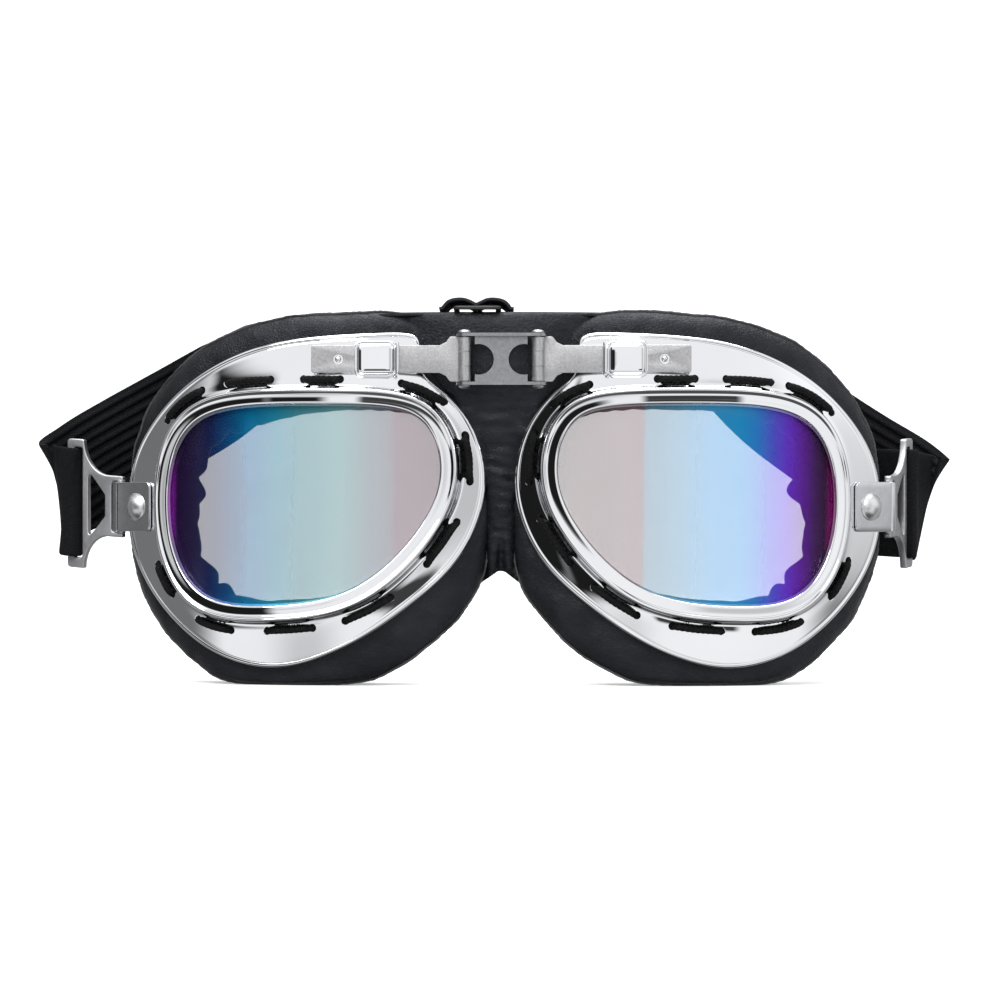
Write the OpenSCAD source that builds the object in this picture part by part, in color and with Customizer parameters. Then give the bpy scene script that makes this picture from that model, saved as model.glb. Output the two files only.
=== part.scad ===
// Aviator-style motorcycle goggles standing upright on their pads.
// Row frame, in millimetres: +X to the right as seen from the front, +Y to the back, +Z up.
// Each cup is drawn once in its own frame: x runs outwards, y backwards and z up. in_cup(side) puts
// it in place from its hinge pin, at_lens(side) from the middle of its lens. Side 1 is the right.

/* [Bridge] */
// Distance between the axes of the two hinge pins
pin_gap = 18.4; // [18.2:0.1:19]
// Height of the hinge's middle above the surface the goggles stand on
bridge_z = 82; // [81.5:0.1:82.5]
// Width of the bridge plate between its ears
bridge_w = 13.2; // [12.6:0.1:13.4]
// Height of the bridge plate
bridge_h = 13; // [12.8:0.1:13.6]
// Thickness of the bridge plate and of the hinge arms
sheet_t = 0.8; // [0.7:0.05:0.9]

/* [Cups] */
// Distance from the left hinge pin to the middle of the left lens
cup_left = 41.3; // [41:0.1:41.6]
// Distance from the right hinge pin to the middle of the right lens
cup_right = 40; // [39.8:0.1:40.4]
// Angle of the left cup about its pin at rest, outer side back
fold_left = 11; // [9:0.5:12]
// Angle of the right cup about its pin at rest, outer side back
fold_right = 6; // [4:0.5:8]
// Radius of the lens about a vertical axis
lens_r = 85; // [83:1:88]
// Height of the lens's middle
cup_z = 45; // [44.9:0.1:45.1]
// Thickness of the lens
lens_t = 1.8; // [1.6:0.1:1.9]
// Width of the raised rim round the lens
rim_w = 4.4; // [4.2:0.1:4.5]
// Height of the raised rim above the flange
rim_h = 4; // [3.6:0.1:4.2]
// Thickness of the chrome shell
shell_t = 1.6; // [1.4:0.1:1.7]
// Diameter of the lace
lace_d = 1.7; // [1.5:0.1:1.8]

/* [Strap] */
// Width of the elastic strap
strap_w = 28; // [26:1:28]
// Thickness of the elastic strap
strap_t = 1.3; // [1.1:0.1:1.4]
// Angle of the left hook to its tab at rest, forwards negative
swing_left = -23; // [-26:1:-20]
// Angle of the right hook to its tab at rest
swing_right = 24; // [20:1:28]

/* [Hidden] */
LEFT = -1;
RIGHT = 1;

// Where the middle of the bridge lies, so that the origin is under the middle of the whole part
centre = [2.33, -23.03];

pin_x = pin_gap / 2;
pin_r = 0.75;
knuckle_r = 1.55;
run_gap = 0.05; // radial clearance of a pin in its knuckle
ear_gap = 0.15; // clearance between an ear and the end of a knuckle

face_b = -5.5; // front face of the flange at the middle of the lens
flange_slope = 0.21; // how far the flange falls back for each millimetre above or below the rim
stations = 72; // round each cup

// Outlines of a cup seen from the front, matched row by row, about the middle of the lens.
// [edge of the lens opening, outer edge of the flange, widest line of the pad]
OUTLINE = [
    [[35.6, 1.5], [49.6, 0], [49.9, 0]],
    [[34.6, 11], [47.4, 12.4], [49.4, 14]],
    [[30.8, 18.8], [40.2, 22.8], [44, 26]],
    [[24, 23.4], [31, 31.1], [34.6, 35.6]],
    [[14, 25.2], [19.8, 37.4], [22, 42.4]],
    [[3, 25.5], [7.3, 41.4], [8, 46.4]],
    [[-7, 25.5], [-6, 43], [-6, 47.6]],
    [[-15, 25.4], [-18, 43.6], [-17, 47.9]],
    [[-21.5, 25], [-27, 43.7], [-26, 47.2]],
    [[-26, 24.2], [-29.6, 41.4], [-33, 44]],
    [[-29.5, 22.8], [-29.8, 33.8], [-36.4, 37.4]],
    [[-32.4, 20], [-36.2, 28.6], [-40, 29.8]],
    [[-34.6, 15.2], [-42.3, 20.5], [-43.4, 20.6]],
    [[-35.3, 9], [-45.2, 10.5], [-45.2, 10.5]],
    [[-34.2, 2.4], [-44.8, 1], [-46, 0.2]],
    [[-31, -4.1], [-41.6, -8.5], [-46.4, -10]],
    [[-26.4, -10.4], [-36, -16.8], [-45, -20]],
    [[-20.4, -16.4], [-27, -25], [-38.4, -29.6]],
    [[-12.6, -21.3], [-15.5, -33.2], [-27, -39.4]],
    [[-3, -23.8], [-2, -39.1], [-9, -47]],
    [[8, -24.6], [10, -40.7], [8, -48.6]],
    [[19, -24.4], [23, -37.2], [22, -45]],
    [[26.5, -21.5], [34, -29.8], [37, -34.6]],
    [[31.5, -16], [42.6, -20.5], [45.6, -23.4]],
    [[34.7, -8], [48, -10.5], [49.6, -11.6]]
];
OPENING = 0;
FLANGE = 1;
PAD = 2;

// Where the laces go through the flanges: rows of OUTLINE, two holes for each stitch
LACE_LEFT = [
    1.9, 3, 3.6, 4.6, 5.4, 6.4, 8.6, 10.5, 11.85, 13.3, 14.5, 15.95,
    17.2, 18.3, 19.05, 20.05, 20.85, 21.7, 22.65, 23.5
];
LACE_RIGHT = [
    2.1, 3.25, 3.65, 4.65, 5.4, 6.4, 8.9, 10.6, 11.8, 13.3, 14.4, 15.9,
    16.8, 17.95, 18.75, 19.8, 20.55, 21.6, 22.6, 23.6
];
lace_out = 6.5; // from the edge of the lens opening to the lace

arm_turn = 12; // the arm leans forwards from the cup's own frame
arm_l = 38.3;
arm_h = 6.9;
leaf_h = 11.3;
leaf_l = 3.6;
neck_l = 6.2;
catch_x = 31.6; // the catch that stops the arm in its keeper
keeper_x = [17, 27.6];

tab_x = 45.7; // rivet, from the middle of the lens
tab_turn = asin(tab_x / lens_r);
tab_h = 12.7;
tab_t = 0.8;
tab_in = 5; // from the rivet to the inner edge
barrel_x = 7.9; // from the rivet to the hook's axis
barrel_b = 0.9;
barrel_r = 2;
hook_bar_r = 1.15;
hook_t = 1.8;
rivet_r = 3.5;

function cup_at(side) = side > 0 ? cup_right : cup_left;
function fold(side) = side > 0 ? fold_right : fold_left;
function lace_rows(side) = side > 0 ? LACE_RIGHT : LACE_LEFT;
function swing(side) = side > 0 ? swing_right : swing_left;

// ---- curves and closed meshes ----

function spline(a, b, c, d, t) =
    0.5 * (2 * b + (c - a) * t + (2 * a - 5 * b + 4 * c - d) * t * t + (3 * b - a - 3 * c + d) * t * t * t);

// A closed curve through points, s counting in points
function loop_at(points, s) =
    let (n = len(points), i = floor(s), t = s - i, k = i + n)
    spline(points[(k - 1) % n], points[k % n], points[(k + 1) % n], points[(k + 2) % n], t);

// An open curve through points
function path_at(points, s) =
    let (last = len(points) - 1, i = min(floor(s), last - 1), t = s - i)
    spline(points[max(i - 1, 0)], points[i], points[i + 1], points[min(i + 2, last)], t);

function unit(v) = v / norm(v);

// Two faces for four corners that go anticlockwise seen from outside
function quad(a, b, c, d) = [[a, c, b], [a, d, c]];

// Faces of rings of m points each, joined in order, closed round the ring
function skin(n, m, closed) = [
    for (i = [0 : n - (closed ? 1 : 2)], j = [0 : m - 1])
        let (k = (i + 1) % n, l = (j + 1) % m)
        each quad(i * m + j, i * m + l, k * m + l, k * m + j)
];

module ring_solid(rings) {
    polyhedron([for (r = rings) each r], skin(len(rings), len(rings[0]), true));
}

module bar_solid(rings) {
    n = len(rings);
    m = len(rings[0]);
    polyhedron(
        [for (r = rings) each r],
        concat(
            skin(n, m, false),
            [for (j = [1 : m - 2]) [0, j, j + 1]],
            [for (j = [1 : m - 2]) [(n - 1) * m, (n - 1) * m + j + 1, (n - 1) * m + j]]
        )
    );
}

// ---- places in a cup ----

function outline(k, s) = loop_at([for (row = OUTLINE) row[k]], s);
function row_of(i) = i * len(OUTLINE) / stations;

// Outward direction of the lens opening's edge
function outward(s) = let (d = outline(OPENING, s + 0.05) - outline(OPENING, s - 0.05)) unit([d.y, -d.x]);

function sag(x) = lens_r - sqrt(lens_r * lens_r - x * x);

// A point at [x, z] from the middle of the lens, h in front of the flange's face
function on_cup(p, h) = [p.x, face_b + sag(p.x) - h, cup_z + p.y];

// The point a distance d outside the lens opening, at row s
function near_rim(s, d) = outline(OPENING, s) + d * outward(s);

// The flange, from the foot of the rim (t = 0) to its outer edge (t = 1)
rim_foot = rim_w + 0.7;
function on_flange(s, t) = let (a = near_rim(s, rim_foot)) a + t * (outline(FLANGE, s) - a);
function flange_drop(s, t) = -flange_slope * abs(on_flange(s, t).y - on_flange(s, 0).y);

module in_cup(side) {
    translate([centre.x, centre.y, 0])
        mirror([side < 0 ? 1 : 0, 0, 0])
            translate([pin_x, 0, 0])
                rotate([0, 0, fold(side)])
                    children();
}

module at_lens(side) {
    in_cup(side) translate([cup_at(side), 0, 0]) children();
}

module in_arm() {
    translate([0, 0, bridge_z]) rotate([0, 0, -arm_turn]) children();
}

module in_tab() {
    translate([tab_x, face_b + sag(tab_x), cup_z]) rotate([0, 0, tab_turn]) children();
}

module in_hook(side) {
    in_tab() translate([barrel_x, barrel_b, 0]) rotate([0, 0, swing(side)]) children();
}

module at_bridge() {
    translate([centre.x, centre.y, bridge_z]) children();
}

// ---- bridge ----

module bridge_plate() {
    back = 1.9; // front face of the plate, behind the pins
    ear_r = 2;
    ear_x = pin_x + 0.2;
    bite_r = 3.85;
    bite_x = bridge_w / 2 - 0.9;
    color("silver") at_bridge() difference() {
        union() {
            translate([-bridge_w / 2, back, -bridge_h / 2]) cube([bridge_w, sheet_t, bridge_h]);
            for (z = [-bridge_h / 2, bridge_h / 2 - sheet_t]) translate([0, 0, z]) {
                translate([-bridge_w / 2, -ear_r, 0]) cube([bridge_w, back + ear_r + 0.1, sheet_t]);
                for (x = [-1, 1]) {
                    translate([x * ear_x, 0, 0]) cylinder(r = ear_r, h = sheet_t, $fn = 48);
                    translate([x < 0 ? -ear_x : 0, -ear_r, 0]) cube([ear_x, 2 * ear_r, sheet_t]);
                }
            }
        }
        for (x = [-1, 1]) {
            translate([x * bite_x, 0, 0]) rotate([-90, 0, 0]) cylinder(r = bite_r, h = 9, $fn = 64);
            translate([x * pin_x, 0, -20]) cylinder(r = pin_r, h = 40, $fn = 48);
        }
    }
}

module hinge_pin(side) {
    head_r = 1.6;
    head_h = 0.9;
    color("gainsboro") at_bridge() translate([side * pin_x, 0, 0]) {
        cylinder(r = pin_r, h = bridge_h + 0.2, center = true, $fn = 48);
        for (top = [0, 1]) mirror([0, 0, 1 - top]) translate([0, 0, bridge_h / 2]) {
            cylinder(r1 = head_r, r2 = head_r * 0.6, h = head_h, $fn = 48);
        }
    }
}

// The leather over the nose: slices at a height, [z, half width, front, back]
NOSE = [
    [31, 3.4, 14, 20], [36, 3, 11, 20], [44, 2.4, 8.5, 18], [54, 2.2, 5.5, 16], [64, 3, 4, 15],
    [72, 7, 3, 16], [77, 9.5, 2.7, 20], [87, 9.5, 2.7, 26], [91, 8.5, 6, 25], [93.1, 7.5, 12, 21]
];
module nose_leather() {
    color("#26272a") translate([centre.x, centre.y, 0])
        bar_solid([for (r = NOSE) [[-r[1], r[3], r[0]], [-r[1], r[2], r[0]], [r[1], r[2], r[0]], [r[1], r[3], r[0]]]]);
}

// ---- cups ----

// Section of the shell at row s, as [x, z] from the middle of the lens and a height
function shell_section(s) =
    let (
        rim = [
            [0, rim_h - 3], [0.1, rim_h - 1.3], [0.8, rim_h - 0.35], [2.1, rim_h], [3.5, rim_h - 0.35],
            [rim_w - 0.1, rim_h - 1.5], [rim_w, 0.15]
        ],
        inside = [[rim_foot, -shell_t], [3.2, -shell_t], [3.2, rim_h - 3]]
    )
    concat(
        [for (p = rim) on_cup(near_rim(s, p[0]), p[1])],
        [for (t = [0, 0.5, 0.94]) on_cup(on_flange(s, t), flange_drop(s, t))],
        [on_cup(on_flange(s, 1), flange_drop(s, 1) - 0.6)],
        [for (t = [0.97, 0.5]) on_cup(on_flange(s, t), flange_drop(s, t) - shell_t)],
        [for (p = inside) on_cup(near_rim(s, p[0]), p[1])]
    );

module lace_holes(side) {
    for (s = lace_rows(side)) {
        p = on_cup(near_rim(s, lace_out), 0);
        turn = asin(p.x / lens_r);
        translate(p) rotate([-90, 0, turn]) cylinder(r = lace_d / 2 + 0.2, h = 8, center = true, $fn = 24);
    }
}

// The keeper that the hinge arm slides into, and the flat land under the arm
module keeper() {
    wall = 1.2;
    land_x = [10.8, 39.4];
    translate([land_x[0], knuckle_r + 0.05, -arm_h / 2 - 0.8])
        cube([land_x[1] - land_x[0], 2.4, arm_h + 1.6]);
    translate([keeper_x[0], knuckle_r - sheet_t - wall - 0.15, -arm_h / 2 - wall])
        cube([keeper_x[1] - keeper_x[0], sheet_t + wall + 2, arm_h + 2 * wall]);
}

module shell_part(side) {
    color("gainsboro") {
        difference() {
            union() {
                at_lens(side) ring_solid([for (i = [0 : stations - 1]) shell_section(row_of(i))]);
                in_cup(side) in_arm() keeper();
            }
            in_cup(side) in_arm() translate([-5, knuckle_r - sheet_t - 0.1, -arm_h / 2 - 0.15])
                cube([arm_l + 5.3, sheet_t + 0.14, arm_h + 0.3]);
            at_lens(side) lace_holes(side);
            at_lens(side) in_tab() rotate([90, 0, 0]) cylinder(r = 1.45, h = 12, center = true, $fn = 32);
        }
        // The catch that holds the arm home
        in_cup(side) in_arm() translate([catch_x, knuckle_r + 0.3, 0]) rotate([90, 0, 0])
            cylinder(r1 = 1.1, r2 = 0.7, h = 1.6, $fn = 32);
    }
}

lens_out = 2.6; // how far the lens reaches under the rim
module lens(side) {
    front = rim_h - 3 - 0.05;
    rings = [0, 0.35, 0.7, 1];
    n = stations;
    function layer(h) = [
        for (k = [1 : 3], i = [0 : n - 1])
            let (e = near_rim(row_of(i), lens_out)) on_cup(rings[k] * e, h)
    ];
    function cap(first, middle) = concat(
        [for (i = [0 : n - 1]) [middle, first + (i + 1) % n, first + i]],
        [for (k = [0 : 1], i = [0 : n - 1])
            let (a = first + k * n, j = (i + 1) % n) each quad(a + i, a + n + i, a + n + j, a + j)]
    );
    color("lightskyblue", 0.5) at_lens(side) polyhedron(
        concat(layer(front), layer(front - lens_t), [on_cup([0, 0], front), on_cup([0, 0], front - lens_t)]),
        concat(
            cap(0, 6 * n),
            [for (f = cap(3 * n, 6 * n + 1)) [f[2], f[1], f[0]]],
            [for (i = [0 : n - 1]) let (j = (i + 1) % n) each quad(2 * n + i, 5 * n + i, 5 * n + j, 2 * n + j)]
        )
    );
}

module lens_retainer(side) {
    top = rim_h - 3 - 0.25 - lens_t;
    section = [[0.6, top], [3.1, top], [3.1, top - 1.6], [0.6, top - 1.6]];
    color("#1c1c1e") at_lens(side)
        ring_solid([for (i = [0 : stations - 1]) [for (p = section) on_cup(near_rim(row_of(i), p[0]), p[1])]]);
}

// The lace runs over the flange in each stitch and under it between stitches
module lace(side) {
    over = lace_d / 2 + 0.15;
    under = -shell_t - lace_d / 2 - 0.15;
    rows = lace_rows(side);
    n = len(rows);
    function lace_point(s, h) = on_cup(near_rim(s, lace_out), h);
    points = [
        for (i = [0 : 2 : n - 2])
            let (a = rows[i], b = rows[i + 1], c = i + 2 < n ? rows[i + 2] : rows[0] + len(OUTLINE))
            each [
                lace_point(a, -0.8), lace_point(a + 0.15 * (b - a), over), lace_point((a + b) / 2, over + 0.1),
                lace_point(b - 0.15 * (b - a), over), lace_point(b, -0.8),
                lace_point(b + 0.2 * (c - b), under), lace_point(c - 0.2 * (c - b), under)
            ]
    ];
    turns = 2 * len(points);
    function tube_ring(s) =
        let (
            p = loop_at(points, s),
            d = unit(loop_at(points, s + 0.1) - loop_at(points, s + len(points) - 0.1)),
            w = unit(cross(d, [p.x, 0, p.z - cup_z])),
            v = cross(d, w)
        )
        [for (a = [0 : 60 : 300]) p + lace_d / 2 * (cos(a) * w + sin(a) * v)];
    color("#141415") at_lens(side) ring_solid([for (i = [0 : turns - 1]) tube_ring(i / 2)]);
}

// ---- pads ----

pad_depth = 23; // behind the flange
leather_t = 1;

// The opening at the back of a pad is the lens opening, drawn in on the outer side
function eye(p) = [p.x * (p.x > 0 ? 0.84 : 0.98), p.y * 0.97];
// The pad leaves room for the nose as it goes back
function nose_room(p, share) = [p.x + 15 * share * max(0, min(1, (-p.x - 18) / 24)), p.y];

function pad_section(s) =
    let (
        a = near_rim(s, 4.2), edge = on_flange(s, 0.88), wide = outline(PAD, s),
        e = eye(outline(OPENING, s)), drop = flange_drop(s, 0.88) - shell_t,
        back = nose_room(0.35 * e + 0.65 * wide, 1),
        rear_h = -pad_depth + 0.35 * sag(wide.x)
    )
    [for (q = [
        [a, -4.4], [edge, drop - 0.5], [nose_room(0.75 * wide + 0.25 * edge, 0.05), drop - 2.2],
        [nose_room(wide, 0.3), drop - 8], [nose_room(0.97 * wide, 0.75), 0.8 * rear_h],
        [nose_room(0.12 * e + 0.88 * wide, 1), rear_h + 1.2], [back, rear_h],
        [0.8 * e + 0.2 * back, rear_h + 2], [e, 0.7 * rear_h], [0.5 * e + 0.5 * a, -8]
    ]) let (p = on_cup(q[0], q[1])) [p.x, p.y, max(p.z, 0)]];

function middle(points) = [for (k = [0 : 2]) let (v = [for (p = points) p[k]]) sum(v) / len(v)];
function sum(v, i = 0) = i < len(v) ? v[i] + sum(v, i + 1) : 0;
// Points moved a distance d towards their middle
function drawn_in(points, d) = let (m = middle(points)) [for (p = points) p + d * unit(m - p)];

module pad_leather(side) {
    color("#232427") at_lens(side) ring_solid([
        for (i = [0 : stations - 1])
            let (p = pad_section(row_of(i)), q = drawn_in(p, leather_t), n = len(p))
            concat([for (k = [1 : n - 1]) p[k]], [p[0]], [q[0]], [for (k = [n - 1 : -1 : 1]) q[k]])
    ]);
}

module pad_foam(side) {
    color("#3a3a3c") at_lens(side)
        ring_solid([for (i = [0 : stations - 1]) drawn_in(pad_section(row_of(i)), leather_t + 0.3)]);
}

// ---- hinge arm, strap tab, rivet and hook ----

module hinge_arm(side) {
    half = bridge_h / 2 - sheet_t - ear_gap;
    color("silver") in_cup(side) in_arm() difference() {
        union() {
            cylinder(r = knuckle_r, h = 2 * half, center = true, $fn = 64);
            translate([0, knuckle_r, 0]) rotate([90, 0, 0]) linear_extrude(sheet_t) polygon([
                [0, -leaf_h / 2], [leaf_l, -leaf_h / 2], [leaf_l + 1, -leaf_h / 2 + 1.4], [neck_l, -arm_h / 2],
                [arm_l, -arm_h / 2], [arm_l, arm_h / 2], [neck_l, arm_h / 2], [leaf_l + 1, leaf_h / 2 - 1.4],
                [leaf_l, leaf_h / 2], [0, leaf_h / 2]
            ]);
        }
        cylinder(r = pin_r + run_gap, h = 30, center = true, $fn = 64);
        translate([catch_x, 3, 0]) rotate([90, 0, 0]) cylinder(r = 1.25, h = 6, $fn = 32);
    }
}

module strap_tab(side) {
    color("silver") at_lens(side) in_tab() difference() {
        union() {
            translate([-tab_in, -tab_t - 0.1, -tab_h / 2]) cube([tab_in + barrel_x, tab_t, tab_h]);
            translate([barrel_x, barrel_b, 0]) cylinder(r = barrel_r, h = tab_h, center = true, $fn = 64);
        }
        translate([barrel_x, barrel_b, 0]) cylinder(r = hook_bar_r + 0.1, h = 30, center = true, $fn = 64);
        rotate([90, 0, 0]) cylinder(r = 1.45, h = 12, center = true, $fn = 32);
    }
}

module tab_rivet(side) {
    head_h = 1.9;
    dome_r = (rivet_r * rivet_r + head_h * head_h) / (2 * head_h);
    color("whitesmoke") at_lens(side) in_tab() {
        translate([0, -tab_t - 0.1, 0]) rotate([90, 0, 0]) intersection() {
            translate([0, 0, head_h - dome_r]) sphere(r = dome_r, $fn = 64);
            cylinder(r = rivet_r, h = 5, $fn = 64);
        }
        translate([0, shell_t + 0.5, 0]) rotate([90, 0, 0]) cylinder(r = 1.4, h = shell_t + tab_t + 0.6, $fn = 32);
    }
}

module strap_hook(side) {
    end_z = 7.9; // half height at the tab
    wide_z = 16; // half height at the strap
    lift = 0.075; // how the strap's pull raises the outer end
    web_x = 2.4;
    window_x = 9.8;
    slot_x = [10.9, 13]; // the strap's slot, inside the outer bar
    slot_z = 14.5;
    end_x = 15.1;
    curve = [for (a = [0 : 10 : 90]) [web_x + 1 + (window_x - web_x) * sin(a), end_z + (wide_z - end_z) * (1 - cos(a))]];
    upper = concat([[-0.9, end_z]], curve, [[end_x - 0.5, wide_z], [end_x, wide_z - 0.6]]);
    lower = [for (i = [len(upper) - 1 : -1 : 0]) [upper[i].x, -upper[i].y]];
    function raised(points) = [for (p = points) [p.x, p.y + lift * p.x]];
    color("lightgray") at_lens(side) in_hook(side) {
        rotate([90, 0, 0]) linear_extrude(hook_t, center = true) difference() {
            polygon(raised(concat(upper, lower)));
            translate([-5, -tab_h / 2 - 0.3]) square([5 + web_x, tab_h + 0.6]);
            polygon(raised([[web_x + 1.6, -3], [window_x, -8.3], [window_x, 8.3], [web_x + 1.6, 3]]));
            polygon(raised([
                [slot_x[0], -slot_z], [slot_x[1], -slot_z], [slot_x[1], slot_z], [slot_x[0], slot_z]
            ]));
        }
        cylinder(r = hook_bar_r, h = tab_h + 0.7, center = true, $fn = 48);
    }
}

// ---- strap ----

// Middle lines of the two halves of the strap from the middle of the bridge, with the direction
// of the strap's width beside each point
LEFT_STRAP = [
    [[-113.4, 38.8, 46.2], [0, 0, 1]], [[-109.8, 36.95, 46.2], [0, 0, 1]], [[-109.35, 34.55, 46.2], [0, 0, 1]],
    [[-111.2, 33.2, 46.2], [0, 0, 1]], [[-114.2, 34.3, 46.7], [-0.03, 0, 1]], [[-116.7, 37.3, 47.4], [-0.1, 0, 1]],
    [[-117.8, 41.4, 48.2], [-0.17, 0, 0.98]], [[-116.4, 44.4, 49.6], [-0.26, -0.05, 0.96]],
    [[-112, 45.8, 53], [-0.38, -0.2, 0.9]], [[-104, 46.4, 57.6], [-0.44, -0.32, 0.84]],
    [[-95, 46.4, 62.8], [-0.44, -0.34, 0.83]], [[-86, 46, 67.8], [-0.44, -0.36, 0.82]],
    [[-77, 44.4, 73], [-0.4, -0.42, 0.8]], [[-68, 40.8, 79.2], [-0.34, -0.6, 0.7]],
    [[-57, 33.6, 87.8], [-0.2, -0.85, 0.42]], [[-46, 25.6, 93], [-0.06, -0.99, 0.1]],
    [[-34, 21.2, 93.75], [0, -1, 0]], [[-20, 20.4, 93.75], [0, -1, 0]], [[-6.1, 20.4, 93.75], [0, -1, 0]]
];
RIGHT_STRAP = [
    [[97.6, 40.8, 46.2], [0, 0, 1]], [[100.7, 37.2, 46], [0, 0, 1]], [[102.77, 34.38, 45.9], [0, 0, 1]],
    [[104.5, 33.1, 45.9], [0, 0, 1]], [[107.14, 32.4, 45.8], [0, 0, 1]], [[108.56, 36.66, 45.4], [0.03, 0, 1]],
    [[111.2, 40.2, 44.9], [0.18, 0, 0.98]], [[112.8, 43, 44.8], [0.28, 0, 0.96]],
    [[111, 45.6, 46.4], [0.36, -0.05, 0.93]], [[104, 46.6, 50.8], [0.46, -0.16, 0.88]],
    [[94, 46.6, 57], [0.48, -0.26, 0.85]], [[83, 45.8, 64.2], [0.48, -0.32, 0.83]],
    [[73, 43.4, 71.4], [0.42, -0.42, 0.8]], [[64, 38.8, 79.2], [0.34, -0.6, 0.7]],
    [[54, 31.8, 88], [0.2, -0.85, 0.42]], [[44, 24.8, 92.9], [0.06, -0.99, 0.1]],
    [[33, 21.2, 93.75], [0, -1, 0]], [[14, 20.4, 93.75], [0, -1, 0]], [[-5.9, 20.4, 93.75], [0, -1, 0]]
];

function strap_ring(rows, s) =
    let (
        places = [for (r = rows) r[0]],
        p = path_at(places, s),
        last = len(rows) - 1,
        d = unit(path_at(places, min(s + 0.05, last)) - path_at(places, max(s - 0.05, 0))),
        across = path_at([for (r = rows) r[1]], s),
        w = unit(across - (across * d) * d),
        v = cross(d, w)
    )
    [for (q = [[-1, -1], [1, -1], [1, 1], [-1, 1]]) p + q[0] * strap_w / 2 * w + q[1] * strap_t / 2 * v];

module strap(rows) {
    steps = 4;
    color("#1b1c1e") translate([centre.x, centre.y, 0])
        bar_solid([for (i = [0 : steps * (len(rows) - 1)]) strap_ring(rows, i / steps)]);
}

slider_x = -6;
slider_z = 94.6; // underside, just above the strap
slider_y = 20.4;

module strap_slider() {
    l = 12;
    w = 34;
    bar = 2;
    h = 1.6;
    color("#111112") translate([centre.x + slider_x, centre.y + slider_y, slider_z]) difference() {
        translate([-l / 2, -w / 2, 0]) cube([l, w, h]);
        for (x = [-1, 1]) translate([x * l / 4 - 1.6, -strap_w / 2 - 1, -1]) cube([3.2, strap_w + 2, h + 2]);
    }
}

// The strap's two humps over the slider
module slider_loop() {
    hump_r = 4;
    inner_r = hump_r - 2;
    color("#1b1c1e") translate([centre.x + slider_x, centre.y + slider_y, slider_z + 1.75])
        for (x = [-1, 1]) translate([x * (hump_r - 0.4), strap_w / 2, -2.2]) rotate([90, 0, 0])
            linear_extrude(strap_w) difference() {
                intersection() {
                    circle(r = hump_r, $fn = 48);
                    translate([x < 0 ? -hump_r : 0.4 - hump_r, 2.3]) square([2 * hump_r - 0.4, hump_r]);
                }
                circle(r = inner_r + 0.4, $fn = 48);
            }
}

bridge_plate();
hinge_pin(LEFT);  // left_hinge_pin
hinge_pin(RIGHT);  // right_hinge_pin
nose_leather();
shell_part(LEFT);  // left_shell
lens(LEFT);  // left_lens
lens_retainer(LEFT);  // left_lens_retainer
lace(LEFT);  // left_lace
pad_foam(LEFT);  // left_pad_foam
pad_leather(LEFT);  // left_pad_leather
hinge_arm(LEFT);  // left_hinge_arm
strap_tab(LEFT);  // left_strap_tab
tab_rivet(LEFT);  // left_tab_rivet
strap_hook(LEFT);  // left_strap_hook
strap(LEFT_STRAP);  // left_strap
shell_part(RIGHT);  // right_shell
lens(RIGHT);  // right_lens
lens_retainer(RIGHT);  // right_lens_retainer
lace(RIGHT);  // right_lace
pad_foam(RIGHT);  // right_pad_foam
pad_leather(RIGHT);  // right_pad_leather
hinge_arm(RIGHT);  // right_hinge_arm
strap_tab(RIGHT);  // right_strap_tab
tab_rivet(RIGHT);  // right_tab_rivet
strap_hook(RIGHT);  // right_strap_hook
strap(RIGHT_STRAP);  // right_strap
strap_slider();
slider_loop();
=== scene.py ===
# Aviator-style motorcycle goggles: high-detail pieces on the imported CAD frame.
import math

import bmesh
import bpy
import numpy as np
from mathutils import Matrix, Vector, noise


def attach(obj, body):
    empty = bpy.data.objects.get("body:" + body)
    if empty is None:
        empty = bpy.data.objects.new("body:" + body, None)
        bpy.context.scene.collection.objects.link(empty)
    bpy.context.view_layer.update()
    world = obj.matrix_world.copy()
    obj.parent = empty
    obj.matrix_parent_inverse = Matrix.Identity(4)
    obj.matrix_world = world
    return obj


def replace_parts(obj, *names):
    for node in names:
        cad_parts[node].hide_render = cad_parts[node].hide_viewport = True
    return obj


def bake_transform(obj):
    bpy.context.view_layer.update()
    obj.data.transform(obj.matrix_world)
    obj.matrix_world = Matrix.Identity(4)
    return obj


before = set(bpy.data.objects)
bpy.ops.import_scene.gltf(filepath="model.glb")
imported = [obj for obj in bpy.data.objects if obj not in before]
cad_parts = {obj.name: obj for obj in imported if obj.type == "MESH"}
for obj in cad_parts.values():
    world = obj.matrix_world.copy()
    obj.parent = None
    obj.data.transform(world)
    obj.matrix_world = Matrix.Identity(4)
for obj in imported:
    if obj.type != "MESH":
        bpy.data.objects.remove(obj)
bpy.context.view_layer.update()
scene = bpy.context.scene

# ---- sizes in millimetres, the same as in the CAD source ----

CENTRE = np.array([2.33, -23.03, 0.0])
PIN_X = 9.2
BRIDGE_Z = 82.0
CUP_AT = {"left": 41.3, "right": 40.0}
FOLD = {"left": 11.0, "right": 6.0}
SWING = {"left": -23.0, "right": 24.0}
SIDE = {"left": -1.0, "right": 1.0}
LENS_R = 85.0
CUP_Z = 45.0
FACE_B = -5.5
FLANGE_SLOPE = 0.21
SHELL_T = 1.6
RIM_FOOT = 5.1
ARM_TURN = -12.0
ARM_L = 38.3
ARM_H = 6.9
CATCH_X = 31.6
TAB_X = 45.7
TAB_TURN = math.degrees(math.asin(TAB_X / LENS_R))
TAB_H = 12.7
BARREL = (7.9, 0.9)
LACE_D = 1.7
LACE_OUT = 6.5
PAD_DEPTH = 23.0
STRAP_W = 28.0
STRAP_T = 1.3
RIBS = 11
SHEET_T = 0.8
SLIDER_AT = [-6, 20.4, 0]

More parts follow.
